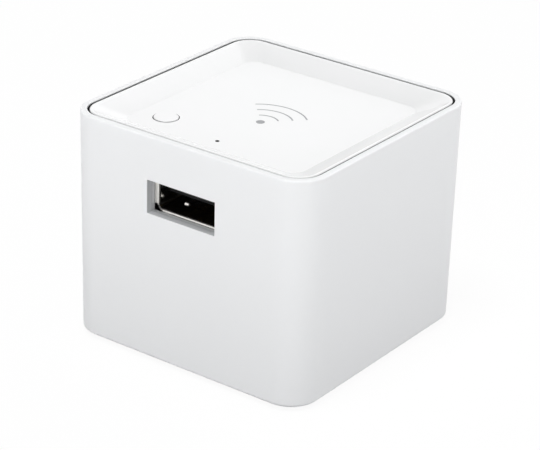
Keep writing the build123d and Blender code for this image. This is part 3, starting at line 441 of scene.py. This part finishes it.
nickelSheet = {"colour": "#CFCDC9", "shade": "#BDBBB7", "rough": (0.12, 0.22),
               "grain": 0.08, "grainRun": 1.6}  # real rolled grain, about 0.02, is too fine to show
socketLips = {"lipHighlight": "#F6F4F0", "tinRoughness": 0.6, "foldShade": "#7C7A77", "back": -22.3,
              "middle": (-0.2, 31.0), "half": (6.55, 2.86), "foldEdge": -0.1, "cornerEdge": -1.0}
leafNoses = {"front": -19.1, "back": -18.6, "top": 29.2,
             "hollow": (-0.158, 0.092, 0.154)}  # how steeply the dent falls along x, y and z


def socketReach(tree, split):
    # how far a point lies outside the side walls, and outside the top and bottom, of the USB socket
    reach = []
    for axis, middle, half in zip("XZ", socketLips["middle"], socketLips["half"]):
        offset = addNode(tree, "ShaderNodeMath", settings={"operation": "SUBTRACT"}, values={1: middle * mm},
                         links={0: (split, axis)})
        away = addNode(tree, "ShaderNodeMath", settings={"operation": "ABSOLUTE"}, links={0: (offset, 0)})
        reach.append(addNode(tree, "ShaderNodeMath", settings={"operation": "SUBTRACT"}, values={1: half * mm},
                             links={0: (away, 0)}))
    return {0: (reach[0], 0), 1: (reach[1], 0)}


def markLips(tree, split):
    # the two shares of the lips: their matt face, and the fold behind it, clear of the socket's corners
    reach = socketReach(tree, split)
    farthest = addNode(tree, "ShaderNodeMath", settings={"operation": "MAXIMUM"}, links=reach)
    nearest = addNode(tree, "ShaderNodeMath", settings={"operation": "MINIMUM"}, links=reach)
    front = addNode(tree, "ShaderNodeMath", settings={"operation": "LESS_THAN"},
                    values={1: socketLips["back"] * mm}, links={0: (split, "Y")})
    outside = addNode(tree, "ShaderNodeMath", settings={"operation": "GREATER_THAN"},
                      values={1: socketLips["foldEdge"] * mm}, links={0: (farthest, 0)})
    straight = addNode(tree, "ShaderNodeMath", settings={"operation": "LESS_THAN"},
                       values={1: socketLips["cornerEdge"] * mm}, links={0: (nearest, 0)})
    return [addNode(tree, "ShaderNodeMath", settings={"operation": "MULTIPLY"},
                    links={0: (front, 0), 1: (part, 0)}) for part in (outside, straight)]


def markNoses(tree, split):
    # the share of the spring leaves' noses under the tongue
    share = None
    for axis, side, operation in (("Y", "front", "GREATER_THAN"), ("Y", "back", "LESS_THAN"),
                                  ("Z", "top", "LESS_THAN")):
        within = addNode(tree, "ShaderNodeMath", settings={"operation": operation},
                         values={1: leafNoses[side] * mm}, links={0: (split, axis)})
        if share:
            within = addNode(tree, "ShaderNodeMath", settings={"operation": "MULTIPLY"},
                             links={0: (share, 0), 1: (within, 0)})
        share = within
    return share


def nickelSheetMaterial():
    # nickel-plated sheet steel, folded: bright, with the fine rolled grain along the socket;
    # the lips are matt with a painted highlight, the fold behind them has painted shade, and each spring leaf
    # has a hollow in its nose
    material, tree, place = newMaterial("nickelPlatedSheet")
    across = 1 / (nickelSheet["grain"] * mm)
    along = 1 / (nickelSheet["grainRun"] * mm)
    stretch = addNode(tree, "ShaderNodeMapping", values={"Scale": (across, along, across)},
                      links={"Vector": (place, "Object")})
    grain = addNode(tree, "ShaderNodeTexNoise", values={"Scale": 1.0, "Detail": 3.0},
                    links={"Vector": (stretch, 0)})
    tint = addNode(tree, "ShaderNodeMix", settings={"data_type": "RGBA"},
                   values={6: hexColour(nickelSheet["colour"]), 7: hexColour(nickelSheet["shade"])},
                   links={0: (grain, "Fac")})
    smooth = addNode(tree, "ShaderNodeMapRange",
                     values={"To Min": nickelSheet["rough"][0], "To Max": nickelSheet["rough"][1]},
                     links={"Value": (grain, "Fac")})
    split = addNode(tree, "ShaderNodeSeparateXYZ", links={"Vector": (place, "Object")})
    lip, fold = markLips(tree, split)
    # painted shade darkens the fold, and a painted highlight makes the lips' face paler
    foldShade = addNode(tree, "ShaderNodeMix", settings={"data_type": "RGBA"},
                     values={7: hexColour(socketLips["foldShade"])}, links={0: (fold, 0), 6: (tint, 2)})
    lipHighlighted = addNode(tree, "ShaderNodeMix", settings={"data_type": "RGBA"},
                     values={7: hexColour(socketLips["lipHighlight"])}, links={0: (lip, 0), 6: (foldShade, 2)})
    rough = addNode(tree, "ShaderNodeMix", values={3: socketLips["tinRoughness"]},
                    links={0: (lip, 0), 2: (smooth, 0)})
    bump = addNode(tree, "ShaderNodeBump", values={"Strength": 0.06, "Distance": 0.01 * mm},
                   links={"Height": (grain, "Fac")})
    fall = addNode(tree, "ShaderNodeVectorMath", settings={"operation": "DOT_PRODUCT"},
                   values={1: leafNoses["hollow"]}, links={0: (place, "Object")})
    hollow = addNode(tree, "ShaderNodeBump", values={"Distance": 1.0},
                     links={"Strength": (markNoses(tree, split), 0), "Height": (fall, "Value"),
                            "Normal": (bump, 0)})
    shader = addNode(tree, "ShaderNodeBsdfPrincipled", values={"Metallic": 1.0},
                     links={"Base Color": (lipHighlighted, 2), "Roughness": (rough, 0), "Normal": (hollow, 0)})
    addNode(tree, "ShaderNodeOutputMaterial", links={"Surface": (shader, 0)})
    return material


# contacts

goldFlash = {"colour": "#E6C883", "shade": "#D2AE66", "mottle": 0.35, "rough": (0.18, 0.32)}


def goldContactMaterial():
    # thin gold flash over nickel on bronze: warm, slightly mottled
    material, tree, place = newMaterial("goldFlashedBronze")
    mottle = addNode(tree, "ShaderNodeTexNoise",
                     values={"Scale": 1 / (goldFlash["mottle"] * mm), "Detail": 3.0},
                     links={"Vector": (place, "Object")})
    tint = addNode(tree, "ShaderNodeMix", settings={"data_type": "RGBA"},
                   values={6: hexColour(goldFlash["colour"]), 7: hexColour(goldFlash["shade"])},
                   links={0: (mottle, "Fac")})
    rough = addNode(tree, "ShaderNodeMapRange",
                    values={"To Min": goldFlash["rough"][0], "To Max": goldFlash["rough"][1]},
                    links={"Value": (mottle, "Fac")})
    shader = addNode(tree, "ShaderNodeBsdfPrincipled", values={"Metallic": 1.0},
                     links={"Base Color": (tint, 2), "Roughness": (rough, 0)})
    addNode(tree, "ShaderNodeOutputMaterial", links={"Surface": (shader, 0)})
    return material


# black insulators

blackLcp = {"colour": "#0C0C0D", "fleckColour": "#161618",
            "fleck": 0.12}  # real fibres, about 0.01 thick, are too fine to show


def blackLcpMaterial():
    # glass-filled black polymer, moulded: matt, with faint lighter flecks of fibre
    material, tree, place = newMaterial("mouldedBlackLcp")
    fleck = addNode(tree, "ShaderNodeTexNoise", values={"Scale": 1 / (blackLcp["fleck"] * mm), "Detail": 5.0},
                    links={"Vector": (place, "Object")})
    tint = addNode(tree, "ShaderNodeMix", settings={"data_type": "RGBA"},
                   values={6: hexColour(blackLcp["colour"]), 7: hexColour(blackLcp["fleckColour"])},
                   links={0: (fleck, "Fac")})
    bump = addNode(tree, "ShaderNodeBump", values={"Strength": 0.15, "Distance": 0.02 * mm},
                   links={"Height": (fleck, "Fac")})
    shader = addNode(tree, "ShaderNodeBsdfPrincipled",
                     values={"Roughness": 0.5, "IOR": 1.6, "Specular IOR Level": 0.15},
                     links={"Base Color": (tint, 2), "Normal": (bump, 0)})
    addNode(tree, "ShaderNodeOutputMaterial", links={"Surface": (shader, 0)})
    return material


dress(nickelSheetMaterial(), "usb_socket_shell", "jack_shield", "power_inlet_shell", "radio_shield")
dress(goldContactMaterial(), "usb_socket_contacts", "jack_contacts", "power_inlet_contacts", "header_pins")
dress(blackLcpMaterial(), "usb_socket_tongue", "jack_housing", "power_inlet_insert", "switch_base",
      "header_socket", "header_base")
print("sockets dressed")


# feet

feetRubber = {"colour": "#2C2C2E", "dustColour": "#3B3B3D",
              "grain": 0.3}  # the real skin's grain, about 0.1, is too fine to show


def rubberMaterial():
    # moulded silicone rubber: matt dark grey, with dust held in its skin
    material, tree, place = newMaterial("mouldedSiliconeRubber")
    grain = addNode(tree, "ShaderNodeTexNoise", values={"Scale": 1 / (feetRubber["grain"] * mm), "Detail": 4.0},
                    links={"Vector": (place, "Object")})
    tint = addNode(tree, "ShaderNodeMix", settings={"data_type": "RGBA"},
                   values={6: hexColour(feetRubber["colour"]), 7: hexColour(feetRubber["dustColour"])},
                   links={0: (grain, "Fac")})
    bump = addNode(tree, "ShaderNodeBump", values={"Strength": 0.3, "Distance": 0.03 * mm},
                   links={"Height": (grain, "Fac")})
    shader = addNode(tree, "ShaderNodeBsdfPrincipled", values={"Roughness": 0.72, "IOR": 1.41},
                     links={"Base Color": (tint, 2), "Normal": (bump, 0)})
    addNode(tree, "ShaderNodeOutputMaterial", links={"Surface": (shader, 0)})
    return material


# screws

zincPlating = {"colour": "#B9BDC0", "spangleColour": "#9BA1A6", "spangle": 0.5, "rough": (0.3, 0.46)}


def zincMaterial():
    # zinc-plated steel, barrel plated: grey with a faint spangle
    material, tree, place = newMaterial("zincPlatedSteel")
    spangle = addNode(tree, "ShaderNodeTexVoronoi", values={"Scale": 1 / (zincPlating["spangle"] * mm)},
                      links={"Vector": (place, "Object")})
    shade = addNode(tree, "ShaderNodeSeparateColor", links={"Color": (spangle, "Color")})
    tint = addNode(tree, "ShaderNodeMix", settings={"data_type": "RGBA"},
                   values={6: hexColour(zincPlating["colour"]), 7: hexColour(zincPlating["spangleColour"])},
                   links={0: (shade, 0)})
    rough = addNode(tree, "ShaderNodeMapRange",
                    values={"To Min": zincPlating["rough"][0], "To Max": zincPlating["rough"][1]},
                    links={"Value": (shade, 1)})
    shader = addNode(tree, "ShaderNodeBsdfPrincipled", values={"Metallic": 1.0},
                     links={"Base Color": (tint, 2), "Roughness": (rough, 0)})
    addNode(tree, "ShaderNodeOutputMaterial", links={"Surface": (shader, 0)})
    return material


# stamped parts of the tact switch, and the strip antenna

stainlessStrip = {"colour": "#C4C2BE", "streakColour": "#ADABA7", "rough": (0.24, 0.38),
                  "streak": 0.06, "streakRun": 1.2}  # real streaks, about 0.02, are too fine to show


def stampedSteelMaterial():
    # stamped stainless strip: streaks from the rolling mill
    material, tree, place = newMaterial("stampedStainlessStrip")
    across = 1 / (stainlessStrip["streak"] * mm)
    along = 1 / (stainlessStrip["streakRun"] * mm)
    stretch = addNode(tree, "ShaderNodeMapping", values={"Scale": (along, across, across)},
                      links={"Vector": (place, "Object")})
    streak = addNode(tree, "ShaderNodeTexNoise", values={"Scale": 1.0, "Detail": 3.0},
                     links={"Vector": (stretch, 0)})
    tint = addNode(tree, "ShaderNodeMix", settings={"data_type": "RGBA"},
                   values={6: hexColour(stainlessStrip["colour"]),
                           7: hexColour(stainlessStrip["streakColour"])},
                   links={0: (streak, "Fac")})
    rough = addNode(tree, "ShaderNodeMapRange",
                    values={"To Min": stainlessStrip["rough"][0], "To Max": stainlessStrip["rough"][1]},
                    links={"Value": (streak, "Fac")})
    shader = addNode(tree, "ShaderNodeBsdfPrincipled", values={"Metallic": 1.0},
                     links={"Base Color": (tint, 2), "Roughness": (rough, 0)})
    addNode(tree, "ShaderNodeOutputMaterial", links={"Surface": (shader, 0)})
    return material


# plunger of the tact switch

blackAcetal = {"colour": "#1A1A1C", "sheenColour": "#242426", "swirl": 0.5}


def plungerMaterial():
    # black acetal, moulded: smooth, with the faint swirl of the melt
    material, tree, place = newMaterial("mouldedBlackAcetal")
    swirl = addNode(tree, "ShaderNodeTexNoise",
                    values={"Scale": 1 / (blackAcetal["swirl"] * mm), "Detail": 2.0, "Distortion": 1.5},
                    links={"Vector": (place, "Object")})
    tint = addNode(tree, "ShaderNodeMix", settings={"data_type": "RGBA"},
                   values={6: hexColour(blackAcetal["colour"]), 7: hexColour(blackAcetal["sheenColour"])},
                   links={0: (swirl, "Fac")})
    shader = addNode(tree, "ShaderNodeBsdfPrincipled", values={"Roughness": 0.32, "IOR": 1.48},
                     links={"Base Color": (tint, 2)})
    addNode(tree, "ShaderNodeOutputMaterial", links={"Surface": (shader, 0)})
    return material


dress(rubberMaterial(), "foot_front_left", "foot_front_right", "foot_rear_left", "foot_rear_right")
dress(zincMaterial(), "case_screws", "upper_board_screws")
dress(stampedSteelMaterial(), "switch_plate", "switch_dome", "switch_terminals", "strip_antenna")
dress(plungerMaterial(), "switch_plunger")
print("feet, screws and switch dressed")


# circuit boards

solderMask = {"colour": "#0E4A2B", "overCopper": "#17653C", "traceGroup": 3.2,
              "tracePitch": 0.8}  # twice the real pitch, which is too fine to show


def boardMaterial():
    # green solder mask over etched copper: bundles of traces show through as paler lines
    material, tree, place = newMaterial("solderMaskedLaminate")
    pitch = solderMask["tracePitch"] * mm
    group = addNode(tree, "ShaderNodeTexVoronoi", settings={"distance": "MANHATTAN"},
                    values={"Scale": 1 / (solderMask["traceGroup"] * mm)}, links={"Vector": (place, "Object")})
    pick = addNode(tree, "ShaderNodeSeparateColor", links={"Color": (group, "Color")})
    turn = addNode(tree, "ShaderNodeMath", settings={"operation": "GREATER_THAN"}, values={1: 0.5},
                   links={0: (pick, 0)})
    split = addNode(tree, "ShaderNodeSeparateXYZ", links={"Vector": (place, "Object")})
    run = addNode(tree, "ShaderNodeMix", links={0: (turn, 0), 2: (split, "X"), 3: (split, "Y")})
    steps = addNode(tree, "ShaderNodeMath", settings={"operation": "PINGPONG"}, values={1: pitch / 2},
                    links={0: (run, 0)})
    copper = addNode(tree, "ShaderNodeMath", settings={"operation": "LESS_THAN"}, values={1: pitch / 6},
                     links={0: (steps, 0)})
    tint = addNode(tree, "ShaderNodeMix", settings={"data_type": "RGBA"},
                   values={6: hexColour(solderMask["colour"]), 7: hexColour(solderMask["overCopper"])},
                   links={0: (copper, 0)})
    bump = addNode(tree, "ShaderNodeBump", values={"Strength": 0.2, "Distance": 0.03 * mm},
                   links={"Height": (copper, 0)})
    shader = addNode(tree, "ShaderNodeBsdfPrincipled", values={"Roughness": 0.3, "IOR": 1.52},
                     links={"Base Color": (tint, 2), "Normal": (bump, 0)})
    addNode(tree, "ShaderNodeOutputMaterial", links={"Surface": (shader, 0)})
    return material


# chips

chipEpoxy = {"colour": "#1B1B1D", "fleckColour": "#29292B",
             "fleck": 0.09}  # real flecks, about 0.03, are too fine to show


def chipMaterial():
    # transfer-moulded epoxy: near black and matt, with silica flecks
    material, tree, place = newMaterial("transferMouldedEpoxy")
    fleck = addNode(tree, "ShaderNodeTexNoise", values={"Scale": 1 / (chipEpoxy["fleck"] * mm), "Detail": 4.0},
                    links={"Vector": (place, "Object")})
    tint = addNode(tree, "ShaderNodeMix", settings={"data_type": "RGBA"},
                   values={6: hexColour(chipEpoxy["colour"]), 7: hexColour(chipEpoxy["fleckColour"])},
                   links={0: (fleck, "Fac")})
    bump = addNode(tree, "ShaderNodeBump", values={"Strength": 0.25, "Distance": 0.02 * mm},
                   links={"Height": (fleck, "Fac")})
    shader = addNode(tree, "ShaderNodeBsdfPrincipled", values={"Roughness": 0.62, "IOR": 1.55},
                     links={"Base Color": (tint, 2), "Normal": (bump, 0)})
    addNode(tree, "ShaderNodeOutputMaterial", links={"Surface": (shader, 0)})
    return material


# thermal pad

siliconePad = {"colour": "#8B97A9", "powderColour": "#A3ADBC",
               "powder": 0.25}  # real powder, about 0.05, is too fine to show


def padMaterial():
    # soft thermal pad: silicone filled with ceramic powder, matt grey-blue
    material, tree, place = newMaterial("filledSiliconePad")
    powder = addNode(tree, "ShaderNodeTexNoise",
                     values={"Scale": 1 / (siliconePad["powder"] * mm), "Detail": 5.0},
                     links={"Vector": (place, "Object")})
    tint = addNode(tree, "ShaderNodeMix", settings={"data_type": "RGBA"},
                   values={6: hexColour(siliconePad["colour"]), 7: hexColour(siliconePad["powderColour"])},
                   links={0: (powder, "Fac")})
    shader = addNode(tree, "ShaderNodeBsdfPrincipled", values={"Roughness": 0.8, "IOR": 1.43},
                     links={"Base Color": (tint, 2)})
    addNode(tree, "ShaderNodeOutputMaterial", links={"Surface": (shader, 0)})
    return material


# heat sink

sinkAluminium = {"colour": "#A7A9AB", "lineColour": "#93969A", "rough": (0.36, 0.5),
                 "dieLine": 0.12, "dieRun": 6.0}  # real lines, about 0.05, are too fine to show


def heatSinkMaterial():
    # extruded aluminium, clear anodised: soft grey, with die lines along the fins
    material, tree, place = newMaterial("anodisedExtrudedAluminium")
    across = 1 / (sinkAluminium["dieLine"] * mm)
    along = 1 / (sinkAluminium["dieRun"] * mm)
    stretch = addNode(tree, "ShaderNodeMapping", values={"Scale": (across, along, across)},
                      links={"Vector": (place, "Object")})
    lines = addNode(tree, "ShaderNodeTexNoise", values={"Scale": 1.0, "Detail": 3.0},
                    links={"Vector": (stretch, 0)})
    tint = addNode(tree, "ShaderNodeMix", settings={"data_type": "RGBA"},
                   values={6: hexColour(sinkAluminium["colour"]), 7: hexColour(sinkAluminium["lineColour"])},
                   links={0: (lines, "Fac")})
    rough = addNode(tree, "ShaderNodeMapRange",
                    values={"To Min": sinkAluminium["rough"][0], "To Max": sinkAluminium["rough"][1]},
                    links={"Value": (lines, "Fac")})
    bump = addNode(tree, "ShaderNodeBump", values={"Strength": 0.15, "Distance": 0.02 * mm},
                   links={"Height": (lines, "Fac")})
    shader = addNode(tree, "ShaderNodeBsdfPrincipled", values={"Metallic": 1.0},
                     links={"Base Color": (tint, 2), "Roughness": (rough, 0), "Normal": (bump, 0)})
    addNode(tree, "ShaderNodeOutputMaterial", links={"Surface": (shader, 0)})
    return material


# power inductor

ironPowder = {"colour": "#38383B", "gritColour": "#4C4C50",
              "grit": 0.18}  # real grit, about 0.05, is too fine to show


def ferriteMaterial():
    # pressed iron powder: dark, dull and gritty
    material, tree, place = newMaterial("pressedIronPowder")
    grit = addNode(tree, "ShaderNodeTexVoronoi", values={"Scale": 1 / (ironPowder["grit"] * mm)},
                   links={"Vector": (place, "Object")})
    tint = addNode(tree, "ShaderNodeMix", settings={"data_type": "RGBA"},
                   values={6: hexColour(ironPowder["gritColour"]), 7: hexColour(ironPowder["colour"])},
                   links={0: (grit, "Distance")})
    bump = addNode(tree, "ShaderNodeBump", values={"Strength": 0.35, "Distance": 0.04 * mm},
                   links={"Height": (grit, "Distance")})
    shader = addNode(tree, "ShaderNodeBsdfPrincipled", values={"Roughness": 0.6, "Metallic": 0.35},
                     links={"Base Color": (tint, 2), "Normal": (bump, 0)})
    addNode(tree, "ShaderNodeOutputMaterial", links={"Surface": (shader, 0)})
    return material


# filter capacitors

capacitorCan = {"base": "#1C1C1F", "baseHeight": 1.2, "sheen": "#D5D6D7", "shade": "#BCBEC0",
                "rough": (0.55, 0.3),  # moulded base, then metal
                "brush": 0.07}  # real draw lines, about 0.02, are too fine to show


def capacitorMaterial():
    # drawn aluminium can on a black moulded base
    material, tree, place = newMaterial("drawnAluminiumCan")
    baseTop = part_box("filter_capacitors")[0][2] + capacitorCan["baseHeight"] * mm
    split = addNode(tree, "ShaderNodeSeparateXYZ", links={"Vector": (place, "Object")})
    metal = addNode(tree, "ShaderNodeMath", settings={"operation": "GREATER_THAN"}, values={1: baseTop},
                    links={0: (split, "Z")})
    brush = addNode(tree, "ShaderNodeTexNoise",
                    values={"Scale": 1 / (capacitorCan["brush"] * mm), "Detail": 2.0},
                    links={"Vector": (place, "Object")})
    sheen = addNode(tree, "ShaderNodeMix", settings={"data_type": "RGBA"},
                    values={6: hexColour(capacitorCan["sheen"]), 7: hexColour(capacitorCan["shade"])},
                    links={0: (brush, "Fac")})
    tint = addNode(tree, "ShaderNodeMix", settings={"data_type": "RGBA"},
                   values={6: hexColour(capacitorCan["base"])}, links={0: (metal, 0), 7: (sheen, 2)})
    rough = addNode(tree, "ShaderNodeMapRange",
                    values={"To Min": capacitorCan["rough"][0], "To Max": capacitorCan["rough"][1]},
                    links={"Value": (metal, 0)})
    shader = addNode(tree, "ShaderNodeBsdfPrincipled",
                     links={"Base Color": (tint, 2), "Roughness": (rough, 0), "Metallic": (metal, 0)})
    addNode(tree, "ShaderNodeOutputMaterial", links={"Surface": (shader, 0)})
    return material


# clock crystal

nickelSilver = {"colour": "#D0CDC4", "shade": "#BAB7AD", "rough": (0.2, 0.34),
                "drawMark": 0.2}  # real draw marks, about 0.05, are too fine to show


def crystalMaterial():
    # drawn nickel silver can: warm grey, with faint draw marks up its sides
    material, tree, place = newMaterial("drawnNickelSilver")
    marks = addNode(tree, "ShaderNodeTexNoise",
                    values={"Scale": 1 / (nickelSilver["drawMark"] * mm), "Detail": 2.0},
                    links={"Vector": (place, "Object")})
    tint = addNode(tree, "ShaderNodeMix", settings={"data_type": "RGBA"},
                   values={6: hexColour(nickelSilver["colour"]), 7: hexColour(nickelSilver["shade"])},
                   links={0: (marks, "Fac")})
    rough = addNode(tree, "ShaderNodeMapRange",
                    values={"To Min": nickelSilver["rough"][0], "To Max": nickelSilver["rough"][1]},
                    links={"Value": (marks, "Fac")})
    shader = addNode(tree, "ShaderNodeBsdfPrincipled", values={"Metallic": 1.0},
                     links={"Base Color": (tint, 2), "Roughness": (rough, 0)})
    addNode(tree, "ShaderNodeOutputMaterial", links={"Surface": (shader, 0)})
    return material


# radio antenna

antennaCeramic = {"colour": "#DCE3DC", "pitColour": "#C6CFC8",
                  "pits": 0.12}  # real pits, about 0.03, are too fine to show


def ceramicMaterial():
    # fired ceramic block: pale, slightly green, fine pitted
    material, tree, place = newMaterial("firedCeramic")
    pits = addNode(tree, "ShaderNodeTexNoise",
                   values={"Scale": 1 / (antennaCeramic["pits"] * mm), "Detail": 5.0},
                   links={"Vector": (place, "Object")})
    tint = addNode(tree, "ShaderNodeMix", settings={"data_type": "RGBA"},
                   values={6: hexColour(antennaCeramic["colour"]), 7: hexColour(antennaCeramic["pitColour"])},
                   links={0: (pits, "Fac")})
    bump = addNode(tree, "ShaderNodeBump", values={"Strength": 0.1, "Distance": 0.01 * mm},
                   links={"Height": (pits, "Fac")})
    shader = addNode(tree, "ShaderNodeBsdfPrincipled", values={"Roughness": 0.42, "IOR": 1.7},
                     links={"Base Color": (tint, 2), "Normal": (bump, 0)})
    addNode(tree, "ShaderNodeOutputMaterial", links={"Surface": (shader, 0)})
    return material


dress(boardMaterial(), "upper_board", "lower_board", "radio_board")
dress(chipMaterial(), "processor", "memory_chip", "flash_chip", "network_transformer", "network_chip",
      "voltage_regulator", "radio_chip")
dress(padMaterial(), "thermal_pad")
dress(heatSinkMaterial(), "heat_sink")
dress(ferriteMaterial(), "power_inductor")
dress(capacitorMaterial(), "filter_capacitors")
dress(crystalMaterial(), "clock_crystal")
dress(ceramicMaterial(), "radio_antenna")
print("boards dressed")


# wireless pictogram, printed on the dish floor

pictogram = {"foot": (0.5, -4.2), "dishLevel": 40.0, "dotRadius": 0.75, "arcRadii": (3.1, 5.6, 8.1),
             "halfAngle": 43.0, "lineWidth": 0.3, "lineHeight": 0.03, "sharpEdge": 40.0,
             "ink": "#8F9194", "thinInk": "#A6A8AB",
             "screenMesh": 0.18}  # the real mesh, about 0.1, is too fine to show


def inkMaterial():
    # screen-printed grey ink: flat, thinner where the mesh held it back
    material, tree, place = newMaterial("screenPrintedInk")
    mesh = addNode(tree, "ShaderNodeTexNoise",
                   values={"Scale": 1 / (pictogram["screenMesh"] * mm), "Detail": 3.0},
                   links={"Vector": (place, "Object")})
    tint = addNode(tree, "ShaderNodeMix", settings={"data_type": "RGBA"},
                   values={6: hexColour(pictogram["ink"]), 7: hexColour(pictogram["thinInk"])},
                   links={0: (mesh, "Fac")})
    shader = addNode(tree, "ShaderNodeBsdfPrincipled", values={"Roughness": 0.4, "IOR": 1.5},
                     links={"Base Color": (tint, 2)})
    addNode(tree, "ShaderNodeOutputMaterial", links={"Surface": (shader, 0)})
    return material


def cutAway(point, normal):
    # keeps the half of the piece on the near side of a plane
    bpy.ops.mesh.select_all(action="SELECT")
    bpy.ops.mesh.bisect(plane_co=point, plane_no=normal, use_fill=True, clear_outer=True)


def addArc(centre, radius):
    # a flattened ring, cut down to the part above the dot
    deselectAll()
    bpy.ops.mesh.primitive_torus_add(location=centre, major_segments=96, minor_segments=8,
                                     major_radius=radius * mm, minor_radius=pictogram["lineWidth"] / 2 * mm)
    arc = bpy.context.object
    bpy.ops.object.transform_apply(location=True, rotation=True, scale=True)
    bpy.ops.object.mode_set(mode="EDIT")
    flat = 2 * pictogram["lineHeight"] / pictogram["lineWidth"]
    bpy.ops.mesh.select_all(action="SELECT")
    bpy.ops.transform.resize(value=(1, 1, flat), center_override=centre)
    half = math.radians(pictogram["halfAngle"])
    cutAway(centre, (0, -1, 0))
    cutAway(centre, (math.cos(half), -math.sin(half), 0))
    cutAway(centre, (-math.cos(half), -math.sin(half), 0))
    bpy.ops.object.mode_set(mode="OBJECT")
    return arc


def addPictogram():
    centre = Vector((pictogram["foot"][0], pictogram["foot"][1], pictogram["dishLevel"])) * mm
    arcs = [addArc(centre, radius) for radius in pictogram["arcRadii"]]
    deselectAll()
    bpy.ops.mesh.primitive_cylinder_add(vertices=48, radius=pictogram["dotRadius"] * mm,
                                        depth=2 * pictogram["lineHeight"] * mm, location=centre)
    dot = bpy.context.object
    bpy.ops.object.transform_apply(location=True, rotation=True, scale=True)
    for arc in arcs:
        arc.select_set(True)
    bpy.ops.object.join()
    dot.name = "wirelessPictogram"
    dot.data.name = "wirelessPictogram"
    bpy.ops.object.shade_smooth_by_angle(angle=math.radians(pictogram["sharpEdge"]))
    dot.data.materials.clear()
    dot.data.materials.append(inkMaterial())
    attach(dot, "housing")


addPictogram()
print("pictogram printed")
